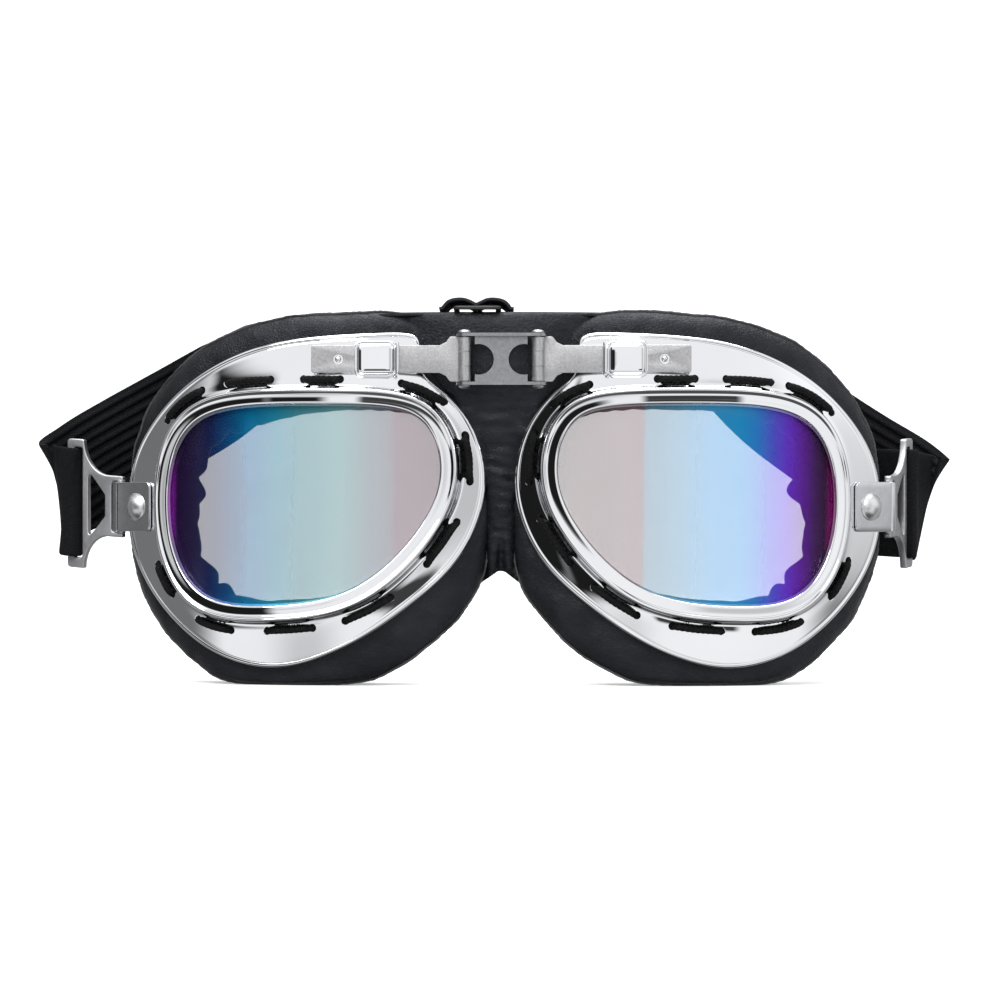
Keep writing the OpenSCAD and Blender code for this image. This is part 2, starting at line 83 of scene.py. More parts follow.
# Outlines of a cup about the middle of its lens: lens opening, flange and pad, row by row
OUTLINE = np.array([
    [35.6, 1.5, 49.6, 0, 49.9, 0],
    [34.6, 11, 47.4, 12.4, 49.4, 14],
    [30.8, 18.8, 40.2, 22.8, 44, 26],
    [24, 23.4, 31, 31.1, 34.6, 35.6],
    [14, 25.2, 19.8, 37.4, 22, 42.4],
    [3, 25.5, 7.3, 41.4, 8, 46.4],
    [-7, 25.5, -6, 43, -6, 47.6],
    [-15, 25.4, -18, 43.6, -17, 47.9],
    [-21.5, 25, -27, 43.7, -26, 47.2],
    [-26, 24.2, -29.6, 41.4, -33, 44],
    [-29.5, 22.8, -29.8, 33.8, -36.4, 37.4],
    [-32.4, 20, -36.2, 28.6, -40, 29.8],
    [-34.6, 15.2, -42.3, 20.5, -43.4, 20.6],
    [-35.3, 9, -45.2, 10.5, -45.2, 10.5],
    [-34.2, 2.4, -44.8, 1, -46, 0.2],
    [-31, -4.1, -41.6, -8.5, -46.4, -10],
    [-26.4, -10.4, -36, -16.8, -45, -20],
    [-20.4, -16.4, -27, -25, -38.4, -29.6],
    [-12.6, -21.3, -15.5, -33.2, -27, -39.4],
    [-3, -23.8, -2, -39.1, -9, -47],
    [8, -24.6, 10, -40.7, 8, -48.6],
    [19, -24.4, 23, -37.2, 22, -45],
    [26.5, -21.5, 34, -29.8, 37, -34.6],
    [31.5, -16, 42.6, -20.5, 45.6, -23.4],
    [34.7, -8, 48, -10.5, 49.6, -11.6],
])
OPENING, FLANGE, PAD = OUTLINE[:, 0:2], OUTLINE[:, 2:4], OUTLINE[:, 4:6]

# Rows where the lace goes through the flange, two for each stitch
LACE_ROWS = {
    "left": [1.9, 3, 3.6, 4.6, 5.4, 6.4, 8.6, 10.5, 11.85, 13.3, 14.5, 15.95,
             17.2, 18.3, 19.05, 20.05, 20.85, 21.7, 22.65, 23.5],
    "right": [2.1, 3.25, 3.65, 4.65, 5.4, 6.4, 8.9, 10.6, 11.8, 13.3, 14.4, 15.9,
              16.8, 17.95, 18.75, 19.8, 20.55, 21.6, 22.6, 23.6],
}

# Strap: points from the middle of the bridge, from the hook to the slider, and the direction of the strap's
# width beside each
STRAP = {
    "left": np.array([
        [-113.4, 38.8, 46.2, 0, 0, 1], [-109.8, 36.95, 46.2, 0, 0, 1], [-109.35, 34.55, 46.2, 0, 0, 1],
        [-111.2, 33.2, 46.2, 0, 0, 1], [-113.2, 34.2, 46.6, -0.04, 0, 1],
        [-114.6, 37.3, 47.2, -0.1, 0, 0.99], [-115.1, 41.4, 48.4, -0.12, 0, 0.99],
        [-113.6, 44.4, 50.6, -0.13, -0.05, 0.99],
        [-109.2, 45.8, 53.9, -0.26, -0.2, 0.94], [-104, 46.4, 57.6, -0.44, -0.32, 0.84],
        [-95, 46.4, 62.8, -0.44, -0.34, 0.83], [-86, 46, 67.8, -0.44, -0.36, 0.82],
        [-77, 44.4, 73, -0.4, -0.42, 0.8], [-68, 40.8, 79.2, -0.34, -0.6, 0.7],
        [-57, 33.6, 87.8, -0.2, -0.85, 0.42], [-46, 25.6, 92.7, -0.06, -0.99, 0.1],
        [-34, 21.2, 93.25, 0, -1, 0], [-20, 20.4, 93.25, 0, -1, 0], [-6.1, 20.4, 93.25, 0, -1, 0],
    ]),
    "right": np.array([
        [97.6, 40.8, 46.2, 0, 0, 1], [100.7, 37.2, 46, 0, 0, 1], [102.77, 34.38, 45.9, 0, 0, 1],
        [104.5, 33.1, 45.9, 0, 0, 1], [107, 32.5, 45.8, 0, 0, 1], [108.1, 36.6, 45.4, 0.03, 0, 1],
        [109.7, 40.2, 44.9, 0.15, 0, 0.98], [110.9, 43, 44.8, 0.25, 0, 0.97],
        [109.2, 45.6, 46.4, 0.34, -0.05, 0.94], [104, 46.6, 50.8, 0.46, -0.16, 0.88],
        [94, 46.6, 57, 0.48, -0.26, 0.85], [83, 45.8, 64.2, 0.48, -0.32, 0.83],
        [73, 43.4, 71.4, 0.42, -0.42, 0.8], [64, 38.8, 79.2, 0.34, -0.6, 0.7],
        [54, 31.8, 88, 0.2, -0.85, 0.42], [44, 24.8, 92.6, 0.06, -0.99, 0.1],
        [33, 21.2, 93.25, 0, -1, 0], [14, 20.4, 93.25, 0, -1, 0], [-5.9, 20.4, 93.25, 0, -1, 0],
    ]),
}

# ---- curves ----


def spline(a, b, c, d, t):
    """Catmull-Rom between b and c."""
    return 0.5 * (2 * b + (c - a) * t + (2 * a - 5 * b + 4 * c - d) * t**2 + (3 * b - a - 3 * c + d) * t**3)


def loop_at(points, s):
    """Points of a closed curve, s counting in rows."""
    points = np.asarray(points, float)
    s = np.atleast_1d(np.asarray(s, float))
    n = len(points)
    i = np.floor(s).astype(int)
    t = (s - i)[:, None]
    return spline(points[(i - 1) % n], points[i % n], points[(i + 1) % n], points[(i + 2) % n], t)


def path_at(points, s):
    """Points of an open curve, s counting in rows."""
    points = np.asarray(points, float)
    s = np.atleast_1d(np.asarray(s, float))
    last = len(points) - 1
    i = np.clip(np.floor(s).astype(int), 0, last - 1)
    t = (s - i)[:, None]
    before, after = points[np.maximum(i - 1, 0)], points[np.minimum(i + 2, last)]
    return spline(before, points[i], points[i + 1], after, t)


def heading(points, s, step):
    """The direction of an open curve at s, from points a step to either side."""
    last = len(points) - 1
    return unit(path_at(points, np.minimum(s + step, last)) - path_at(points, np.maximum(s - step, 0)))


def refined(control, per_line):
    """Smooth closed sections through control lines (lines, rows, 3): the sections row by row, and the place
    of each of their points, counted in control lines."""
    fine = np.arange(len(control) * per_line) / per_line
    lines, rows = control.shape[:2]
    surface = loop_at(control.reshape(lines, -1), fine).reshape(len(fine), rows, 3)
    return surface.transpose(1, 0, 2), fine


X, Y, Z = np.eye(3)


def tube(line, w, v, radius, count):
    """Rings of points round a line, w and v being the directions across it."""
    a = np.linspace(0, 2 * np.pi, count, endpoint=False)[:, None]
    across = np.cos(a) * w[..., None, :] + np.sin(a) * v[..., None, :]
    return np.array(line, float)[:, None] + np.atleast_2d(radius)[..., None] * across


def softened(values, width):
    """A closed row of samples with its corners softened over a width in samples."""
    f = np.fft.fftfreq(len(values))
    keep = np.exp(-2 * (np.pi * f * width) ** 2)
    return np.fft.ifft(np.fft.fft(values, axis=0) * keep[:, None], axis=0).real


def unit(v):
    return v / np.maximum(np.linalg.norm(v, axis=-1, keepdims=True), 1e-9)


def smoothstep(x):
    x = np.clip(x, 0, 1)
    return x * x * (3 - 2 * x)


def rough(points, size, seed=0.0):
    """Smooth noise from -1 to 1 at points, in lumps of a size in mm."""
    return np.array([
        noise.noise(Vector((p[0] / size + seed, p[1] / size - seed, p[2] / size))) for p in points])


# ---- places in a cup ----


def turned(points, degrees):
    a = math.radians(degrees)
    c, s = math.cos(a), math.sin(a)
    p = np.array(points, float).reshape(-1, 3)
    return np.column_stack([c * p[:, 0] - s * p[:, 1], s * p[:, 0] + c * p[:, 1], p[:, 2]])


def sag(x):
    return LENS_R - np.sqrt(LENS_R**2 - np.asarray(x) ** 2)


def on_cup(p, h):
    """Points at [x, z] from the middle of the lens, h in front of the flange's face."""
    return np.column_stack([p[:, 0], FACE_B + sag(p[:, 0]) - h, CUP_Z + p[:, 1]])


def in_cup(side, points):
    """From the frame at the hinge pin to the scene's own, in mm."""
    p = turned(points, FOLD[side]) + [PIN_X, 0, 0]
    return p * [SIDE[side], 1, 1] + CENTRE


def at_lens(side, points):
    return in_cup(side, np.array(points, float).reshape(-1, 3) + [CUP_AT[side], 0, 0])


def in_arm(side, points):
    return in_cup(side, turned(points, ARM_TURN) + [0, 0, BRIDGE_Z])


def in_tab(side, points):
    return at_lens(side, turned(points, TAB_TURN) + [TAB_X, FACE_B + float(sag(TAB_X)), CUP_Z])


def in_hook(side, points):
    return in_tab(side, turned(points, SWING[side]) + [BARREL[0], BARREL[1], 0])


class Rows:
    """A cup's outlines at many stations, softened so that reflections run evenly."""

    def __init__(self, count):
        self.count = count
        s = np.arange(count) * len(OUTLINE) / count
        width = 0.42 * count / len(OUTLINE)
        self.s = s
        self.opening = softened(loop_at(OPENING, s), width)
        self.flange = softened(loop_at(FLANGE, s), 0.8 * width)
        self.pad = softened(loop_at(PAD, s), width)
        step = np.roll(self.opening, -1, 0) - np.roll(self.opening, 1, 0)
        self.out = unit(softened(unit(np.column_stack([step[:, 1], -step[:, 0]])), width))
        self.foot = self.near_rim(RIM_FOOT)
        self.reach = np.linalg.norm(self.flange - self.foot, axis=1)

    def near_rim(self, d):
        """Points a distance d outside the lens opening."""
        return self.opening + np.asarray(d).reshape(-1, 1) * self.out

    def on_flange(self, t):
        """Points on the flange, from the rim's foot (0) to its edge (1)."""
        return self.foot + np.asarray(t).reshape(-1, 1) * (self.flange - self.foot)

    def drop(self, t):
        """How far the flange has fallen back from its face there."""
        rise = self.on_flange(t)[:, 1] - self.foot[:, 1]
        return -FLANGE_SLOPE * (np.sqrt(rise**2 + 2.0) - math.sqrt(2.0))


# ---- meshes ----


def recalculated(mesh):
    """Turns the faces to the outside."""
    b = bmesh.new()
    b.from_mesh(mesh)
    bmesh.ops.recalc_face_normals(b, faces=b.faces)
    b.to_mesh(mesh)
    b.free()


def in_scene(name, data):
    obj = bpy.data.objects.new(name, data)
    scene.collection.objects.link(obj)
    return obj


def new_object(name, mesh, material):
    mesh.materials.append(material)
    return in_scene(name, mesh)


def grid(rings, along=False, around=True, caps=False, uv=None):
    """Vertices, faces and corner UVs of rings (n, m, 3)."""
    n, m = rings.shape[:2]
    rows = n if along else n - 1
    columns = m if around else m - 1
    i, j = (x.ravel() for x in np.meshgrid(np.arange(rows), np.arange(columns), indexing="ij"))
    next_i, next_j = (i + 1) % n, (j + 1) % m
    faces = np.column_stack([i * m + j, i * m + next_j, next_i * m + next_j, next_i * m + j]).tolist()
    corners = np.stack([
        np.column_stack([j, i]), np.column_stack([j + 1, i]),
        np.column_stack([j + 1, i + 1]), np.column_stack([j, i + 1]),
    ], axis=1).reshape(-1, 2) * (uv or (1 / m, 1 / n))
    verts = rings.reshape(-1, 3)
    if caps:
        faces.append(list(range(m - 1, -1, -1)))
        faces.append(list(range((n - 1) * m, n * m)))
        corners = np.vstack([corners, np.zeros((2 * m, 2))])
    return verts, faces, corners


def solid(name, parts, material, sharp=None):
    """One smooth-shaded object from several (vertices in mm, faces, corner UVs)."""
    verts, faces, corners, start = [], [], [], 0
    for v, f, c in parts:
        verts.append(v)
        faces += [[q + start for q in face] for face in f]
        corners.append(c)
        start += len(v)
    mesh = bpy.data.meshes.new(name)
    mesh.from_pydata((np.vstack(verts) * 0.001).tolist(), [], faces)
    layer = mesh.uv_layers.new(name="UVMap")
    layer.data.foreach_set("uv", np.vstack(corners).astype(np.float32).ravel())
    recalculated(mesh)
    mesh.polygons.foreach_set("use_smooth", [True] * len(mesh.polygons))
    if sharp:
        mesh.set_sharp_from_angle(angle=math.radians(sharp))
    return new_object(name, mesh, material)


def lathe(profile, count=48):
    """A profile of [radius, height] pairs turned about Z."""
    profile = np.array(profile, float)
    return grid(tube(profile[:, 1:] * Z, X, Y, profile[:, :1], count), caps=True)


def moved(part, change):
    verts, faces, corners = part
    return change(verts), faces, corners


def placed(part, where, side):
    """A part put into one of a side's frames: at_lens, in_arm, in_tab or in_hook."""
    return moved(part, lambda v: where(side, v))


def stood_up(part, y, facing=1):
    """A part made lying in the XY plane, stood up at y. It faces back, or the front for facing -1."""
    return moved(part, lambda v: np.column_stack([v[:, 0], y + facing * v[:, 2], v[:, 1]]))


def rounded(points, radius, steps=6):
    """A closed outline with its corners rounded."""
    p = np.array(points, float)
    out = []
    for i in range(len(p)):
        before, here, after = p[i - 1], p[i], p[(i + 1) % len(p)]
        a, b = before - here, after - here
        la, lb = np.linalg.norm(a), np.linalg.norm(b)
        turn = abs(math.pi - math.acos(np.clip(a @ b / (la * lb), -1, 1)))
        cut = min(radius * math.tan(turn / 2), la * 0.45, lb * 0.45)
        if turn < 0.2:
            out.append(here)
            continue
        s, e = here + a / la * cut, here + b / lb * cut
        for t in np.linspace(0, 1, steps):
            out.append((1 - t) ** 2 * s + 2 * t * (1 - t) * here + t * t * e)
    return np.array(out)


def plate(loops, thickness, bevel):
    """A flat plate in the XY plane about z 0, with holes and rounded edges: (vertices, faces, UVs)."""
    data = bpy.data.curves.new("plate_outline", "CURVE")
    data.dimensions = "2D"
    data.fill_mode = "BOTH"
    data.extrude = thickness / 2 - bevel
    data.bevel_depth = bevel
    data.bevel_resolution = 3
    data.offset = -bevel
    for loop in loops:
        line = data.splines.new("POLY")
        line.points.add(len(loop) - 1)
        for point, (x, y) in zip(line.points, loop):
            point.co = (x, y, 0, 1)
        line.use_cyclic_u = True
    obj = in_scene("plate_outline", data)
    mesh = bpy.data.meshes.new_from_object(obj.evaluated_get(bpy.context.evaluated_depsgraph_get()))
    b = bmesh.new()
    b.from_mesh(mesh)
    bmesh.ops.remove_doubles(b, verts=b.verts, dist=1e-4)
    verts = np.array([v.co[:] for v in b.verts])
    faces = [[v.index for v in f.verts] for f in b.faces]
    b.free()
    bpy.data.objects.remove(obj)
    bpy.data.meshes.remove(mesh)
    return verts, faces, np.zeros((sum(len(f) for f in faces), 2))


# ---- materials ----


def grey(value):
    return (value, value, value)


def node(tree, kind, inputs=None, **settings):
    """A shader node, its inputs set to values or linked from sockets."""
    n = tree.nodes.new(kind)
    for key, value in settings.items():
        setattr(n, key, value)
    for key, value in (inputs or {}).items():
        if isinstance(value, bpy.types.NodeSocket):
            tree.links.new(value, n.inputs[key])
        else:
            n.inputs[key].default_value = value
    return n


def math_node(tree, operation, *values):
    return node(tree, "ShaderNodeMath", dict(enumerate(values)), operation=operation).outputs[0]


class Look:
    """A material: its Principled shader and the nodes that feed it, in metres."""

    def __init__(self, name, **constants):
        self.material = bpy.data.materials.new(name)
        self.material.use_nodes = True
        self.tree = self.material.node_tree
        self.shader = self.tree.nodes["Principled BSDF"]
        for key, value in constants.items():
            self.shader.inputs[key.replace("_", " ")].default_value = value
        self.where = node(self.tree, "ShaderNodeTexCoord").outputs["Object"]

    def maths(self, operation, *values):
        return math_node(self.tree, operation, *values)

    def grain(self, scale, detail=3.0, roughness=0.5):
        inputs = {"Vector": self.where, "Scale": scale, "Detail": detail, "Roughness": roughness}
        return node(self.tree, "ShaderNodeTexNoise", inputs).outputs["Fac"]

    def ramp(self, factor, stops):
        n = node(self.tree, "ShaderNodeValToRGB", {"Fac": factor})
        elements = n.color_ramp.elements
        while len(elements) < len(stops):
            elements.new(0.5)
        for element, (position, colour) in zip(elements, stops):
            element.position = position
            element.color = (*colour, 1)
        return n.outputs["Color"]

    def bump(self, height, distance, strength, under=None):
        inputs = {"Height": height, "Distance": distance, "Strength": strength}
        if under is not None:
            inputs["Normal"] = under
        return node(self.tree, "ShaderNodeBump", inputs).outputs["Normal"]

    def feed(self, name, socket):
        self.tree.links.new(socket, self.shader.inputs[name])

    def colour(self, factor, *stops):
        self.feed("Base Color", self.ramp(factor, stops))

    def roughness(self, factor, low, high, ends=(0.3, 0.7)):
        """From low to high while the factor goes between the ends."""
        self.feed("Roughness", self.ramp(factor, [(ends[0], grey(low)), (ends[1], grey(high))]))


def chrome_material():
    look = Look("chrome", Metallic=1.0)
    look.colour(look.grain(25), (0.3, (0.84, 0.85, 0.88)), (0.7, (0.905, 0.915, 0.94)))
    look.roughness(look.grain(420, 5), 0.02, 0.06, (0.4, 0.75))
    look.feed("Normal", look.bump(look.grain(45, 1), 0.0004, 0.05))
    return look.material


def metal_material(name, low, high, roughness, speckle, depth):
    look = Look(name, Metallic=1.0)
    fine = look.grain(speckle, 4, 0.65)
    look.colour(fine, (0.3, low), (0.7, high))
    look.roughness(look.grain(speckle / 6), *roughness)
    look.feed("Normal", look.bump(fine, depth, 0.5))
    return look.material


BLUISH = (0.86, 0.9, 1.0, 1.0)


def leather_material(name, low, high):
    look = Look(name, Specular_IOR_Level=0.3, Specular_Tint=BLUISH)
    look.colour(look.grain(90, 4), (0.3, low), (0.72, high))
    look.roughness(look.grain(260, 4), 0.36, 0.50)
    cells = node(look.tree, "ShaderNodeTexVoronoi", {"Vector": look.where, "Scale": 1300.0},
                 feature="DISTANCE_TO_EDGE")
    pores = look.ramp(cells.outputs["Distance"], [(0.0, grey(0.0)), (0.25, grey(1.0))])
    creases = look.bump(look.grain(380, 5, 0.6), 0.0006, 0.55)
    look.feed("Normal", look.bump(pores, 0.00012, 0.5, creases))
    return look.material


# The coating's colour from the nose side of a lens (0) to its temple side (1). The sharp step near the nose
# (0.155 to 0.166 on the left, 0.30 to 0.311 on the right) is a painted reflection of a softbox's edge.
COATING_WITH_PAINTED_REFLECTION = {
    "left": [
        (0.0, (0.20, 0.09, 0.15)), (0.155, (0.20, 0.08, 0.16)), (0.166, (0.18, 0.18, 0.25)),
        (0.25, (0.17, 0.27, 0.33)), (0.35, (0.15, 0.42, 0.45)), (0.5, (0.09, 0.43, 0.52)),
        (0.58, (0.02, 0.46, 0.68)), (0.68, (0.005, 0.40, 0.80)), (0.76, (0.015, 0.17, 0.50)),
        (0.83, (0.035, 0.05, 0.24)), (0.89, (0.04, 0.02, 0.15)), (0.945, (0.05, 0.008, 0.13)),
        (0.97, (0.62, 0.02, 0.85)), (0.995, (0.30, 0.01, 0.45)),
    ],
    "right": [
        (0.0, (0.26, 0.18, 0.19)), (0.30, (0.23, 0.11, 0.15)), (0.311, (0.10, 0.30, 0.46)),
        (0.43, (0.10, 0.42, 0.66)), (0.54, (0.05, 0.50, 0.95)), (0.64, (0.02, 0.50, 1.0)),
        (0.70, (0.04, 0.36, 1.0)), (0.76, (0.14, 0.14, 1.0)), (0.81, (0.22, 0.05, 0.95)),
        (0.86, (0.19, 0.015, 0.55)), (0.91, (0.09, 0.012, 0.18)), (0.945, (0.06, 0.01, 0.08)),
        (0.972, (0.50, 0.015, 0.33)), (0.995, (0.20, 0.01, 0.20)),
    ],
}
# How much of the light each of a lens's two surfaces keeps back
COVER = {"left": 0.5, "right": 0.44}


def lens_material(side):
    """A see-through mirror coating: rose at the nose, teal or blue in the middle, magenta at the temple. The
    sharp step from the rose to the teal or blue is a painted reflection of a softbox's edge.
    """
    look = Look("lens_coating_and_painted_reflection_" + side, Metallic=1.0, Alpha=COVER[side], Coat_Weight=0.45,
                Coat_Roughness=0.02, Coat_IOR=1.5)
    x = node(look.tree, "ShaderNodeSeparateXYZ", {"Vector": look.where}).outputs["X"]
    middle = 0.001 * float(at_lens(side, [[0, FACE_B, CUP_Z]])[0, 0])
    far = 0.036 * SIDE[side] * math.cos(math.radians(FOLD[side]))
    limits = {"Value": x, "From Min": middle - far, "From Max": middle + far}
    place = node(look.tree, "ShaderNodeMapRange", limits).outputs["Result"]
    wander = look.maths("MULTIPLY", look.maths("SUBTRACT", look.grain(18, 2), 0.5), 0.035)
    # the coating's colour along the lens, with a painted softbox reflection edge near the nose
    look.colour(look.maths("ADD", place, wander), *COATING_WITH_PAINTED_REFLECTION[side])
    look.roughness(look.grain(200), 0.42, 0.48)
    return look.material


def cord_material():
    look = Look("lace_cord", Specular_IOR_Level=0.12)
    look.colour(look.grain(1800, 4), (0.3, grey(0.0015)), (0.75, grey(0.007)))
    look.roughness(look.grain(900), 0.62, 0.82)
    look.feed("Normal", look.bump(look.grain(3500), 0.0002, 0.7))
    return look.material


PLAIN_UV = 100.0


def webbing_material():
    """Black elastic: a fine weave, with painted shade that darkens the grooves between the ribs. UVs are in
    millimetres, and those of the plain side are PLAIN_UV further on."""
    look = Look("elastic_webbing", Specular_IOR_Level=0.14, Specular_Tint=BLUISH)
    uv = node(look.tree, "ShaderNodeUVMap").outputs["UV"]
    parts = node(look.tree, "ShaderNodeSeparateXYZ", {"Vector": uv})
    x, y = parts.outputs["X"], parts.outputs["Y"]
    across = look.maths("SINE", look.maths("MULTIPLY", x, 11.0))
    along = look.maths("SINE", look.maths("MULTIPLY", y, 10.0))
    weave = look.maths("MULTIPLY_ADD", look.maths("MULTIPLY", across, along), 0.5, 0.5)
    phase = look.maths("MULTIPLY", look.maths("ADD", x, STRAP_W / 2), RIBS * math.pi / STRAP_W)
    rib = look.maths("ABSOLUTE", look.maths("SINE", phase))
    plain = look.maths("GREATER_THAN", x, PLAIN_UV / 2)
    ribbed = look.maths("MULTIPLY", rib, look.maths("SUBTRACT", 1.0, plain))
    height = look.maths("MAXIMUM", ribbed, look.maths("MULTIPLY", plain, 0.6))
    shade = look.maths("MULTIPLY_ADD", weave, 0.5, 0.5)
    # painted shade: the colour darkens as the rib's height falls into the grooves between the ribs
    groove_shaded_tone = look.maths("MULTIPLY", look.maths("POWER", height, 1.6), shade)
    look.colour(groove_shaded_tone, (0.05, (0.0008, 0.0008, 0.001)), (0.5, (0.006, 0.0062, 0.0075)),
                (1.0, (0.019, 0.0195, 0.023)))
    look.roughness(look.grain(700), 0.6, 0.78)
    look.feed("Normal", look.bump(look.grain(1500), 0.0003, 0.4, look.bump(weave, 0.0003, 0.8)))
    return look.material


def moulded_material(name, low, high, rough_low, rough_high):
    look = Look(name, Specular_IOR_Level=0.5)
    look.colour(look.grain(300, 4), (0.3, grey(low)), (0.7, grey(high)))
    look.roughness(look.grain(150), rough_low, rough_high)
    look.feed("Normal", look.bump(look.grain(2500), 0.0001, 0.3))
    return look.material


CHROME = chrome_material()
STEEL = metal_material(
    "brushed_stainless", (0.42, 0.42, 0.43), (0.62, 0.62, 0.635), (0.36, 0.48), 2200, 8e-5)
PLATE_STEEL = metal_material(
    "bridge_stainless", (0.28, 0.285, 0.3), (0.38, 0.385, 0.4), (0.2, 0.32), 900, 6e-5)
NICKEL = metal_material("satin_nickel", (0.6, 0.605, 0.63), (0.68, 0.685, 0.71), (0.16, 0.22), 400, 1e-5)
CAST = metal_material("cast_nickel", (0.46, 0.465, 0.485), (0.56, 0.565, 0.59), (0.4, 0.5), 700, 4e-5)
RIVET = metal_material("polished_rivet", (0.7, 0.705, 0.715), (0.82, 0.825, 0.835), (0.26, 0.34), 500, 2e-5)
LEATHER = leather_material("black_leather", (0.0035, 0.0037, 0.0046), (0.0085, 0.009, 0.0112))
LEATHER_EDGE = leather_material("leather_cut_edge", (0.02, 0.02, 0.022), (0.06, 0.06, 0.065))
CORD = cord_material()
WEBBING = webbing_material()
PLASTIC = moulded_material("black_plastic", 0.008, 0.016, 0.35, 0.5)
RUBBER = moulded_material("black_rubber", 0.012, 0.022, 0.55, 0.7)
LENS = {side: lens_material(side) for side in SIDE}

# ---- chrome shells ----

# The rim, as [distance outside the lens opening, height above the flange]
RIM = [
    [0, 1.0], [0, 1.9], [0.08, 2.6], [0.35, 2.98], [0.8, 3.12], [1.5, 3.2], [2.2, 3.3], [2.8, 3.46],
    [3.2, 3.76], [3.55, 3.96], [3.9, 3.9], [4.2, 3.55], [4.36, 2.8], [4.4, 1.7], [4.45, 0.85], [4.7, 0.3],
    [5.1, 0.06],
]
# The flange's outer edge, as [distance in from the edge, height]: a fine bead turned over the edge
EDGE = [
    [1.7, 0], [1.2, -0.03], [0.92, 0.1], [0.62, 0.2], [0.32, 0.16], [0.08, -0.02], [0, -0.35], [0.02, -0.9],
    [0.25, -1.3], [0.9, -1.5],
]
# The keeper's side, as [distance in from its outline, height above the land, corner radius]
KEEPER_SIDE = [
    [0, -2.2, 2.2], [0, 0.3, 2.2], [0.05, 0.62, 2.2], [0.2, 0.82, 2.1], [0.42, 0.86, 1.9], [0.6, 0.8, 1.8],
    [0.72, 1.05, 1.7], [0.8, 1.5, 1.6], [0.98, 1.82, 1.5], [1.3, 2, 1.3], [1.8, 2.1, 1], [2.4, 2.14, 0.7],
]
KEEPER_X = (17.0, 27.6)
KEEPER_H = ARM_H + 2.4
LAND_Y = 1.55  # of the face that the arm lies on, behind the hinge's axis
LAND_X = (10.8, ARM_L - 0.8)


def shell_surface(side):
    rows = Rows(400)
    section = [on_cup(rows.near_rim(d), h) for d, h in RIM]
    for t in (0.12, 0.3, 0.5, 0.68):
        section.append(on_cup(rows.on_flange(t), rows.drop(t)))
    for inside, h in EDGE:
        t = np.maximum(1 - inside / rows.reach, 0.72)
        section.append(on_cup(rows.on_flange(t), rows.drop(t) + h))
    section.append(on_cup(rows.on_flange(0.5), rows.drop(0.5) - SHELL_T))
    for d, h in ((RIM_FOOT, -SHELL_T), (3.2, -SHELL_T), (3.2, 1.0)):
        section.append(on_cup(rows.near_rim(d), h))
    rings = refined(np.stack(section), 3)[0]
    return placed(grid(rings, along=True), at_lens, side)


def keeper_pillow(side):
    """The raised chrome loop that holds the hinge arm."""
    length = KEEPER_X[1] - KEEPER_X[0]
    middle = (KEEPER_X[0] + KEEPER_X[1]) / 2
    rings = []
    for inset, out, corner in KEEPER_SIDE:
        x, z = length / 2 - inset, KEEPER_H / 2 - inset
        line = rounded([[-x, -z], [x, -z], [x, z], [-x, z]], corner, 9)
        rings.append(np.column_stack([line[:, 0] + middle, np.full(len(line), LAND_Y - out), line[:, 1]]))
    top = rings[-1]
    for k in (0.85, 0.65, 0.42, 0.2, 0.05):
        crown = 0.07 * (1 - k * k)
        rings.append(np.column_stack([(top[:, 0] - middle) * k + middle, top[:, 1] - crown, top[:, 2] * k]))
    return placed(grid(np.stack(rings), caps=True), in_arm, side)


def keeper_lip(side):
    """The rolled edge at the end of the loop that faces the hinge."""
    z = np.linspace(-4.15, 4.15, 24)[:, None]
    shrink = np.sqrt(np.clip(1 - (np.abs(z) / 4.75) ** 6, 0.05, 1))
    rings = tube([KEEPER_X[0] - 0.15, 0.05, 0] + z * Z, 0.62 * X, -0.75 * Y, shrink, 16)
    return placed(grid(rings, caps=True), in_arm, side)


def arm_land(side):
    """The flat the arm lies on, with its edges rounded into the flange."""
    rings = []
    for inset, back in ((0.0, 4.0), (0.0, 2.2), (0.12, 1.85), (0.4, 1.62), (0.8, 1.58)):
        x0, x1, z = LAND_X[0] + inset, LAND_X[1] - inset, ARM_H / 2 - inset
        line = rounded([[x0, -z], [x1, -z], [x1, z], [x0, z]], 1.2, 6)
        rings.append(np.column_stack([line[:, 0], np.full(len(line), back), line[:, 1]]))
    return placed(grid(np.stack(rings), caps=True), in_arm, side)


def catch_dome(side):
    """The dome that snaps into the arm's hole."""
    profile = [[0.8, -0.6], [0.8, 0.3], [0.76, 0.62], [0.62, 0.9], [0.36, 1.08], [0.1, 1.13]]
    dome = moved(stood_up(lathe(profile, 32), LAND_Y, -1), lambda v: v + [CATCH_X, 0, 0])
    return placed(dome, in_arm, side)


def lace_point(s, h):
    """The lace's place beside row s of the outline, h in front of the flange's face."""
    near = loop_at(OPENING, s)
    step = loop_at(OPENING, s + 0.05) - loop_at(OPENING, s - 0.05)
    out = unit(np.column_stack([step[:, 1], -step[:, 0]]))
    return on_cup(near + LACE_OUT * out, h)


def lace_holes(side):
    """Short rods where the lace goes through."""
    rings = tube([-3.0 * Y, 4.5 * Y], X, Z, LACE_D / 2 + 0.2, 20)
    parts = []
    for s in LACE_ROWS[side]:
        centre = lace_point(s, 0.0)
        turn = math.degrees(math.asin(centre[0, 0] / LENS_R))
        verts, faces, corners = grid(rings, caps=True)
        parts.append((at_lens(side, turned(verts, turn) + centre), faces, corners))
    return parts


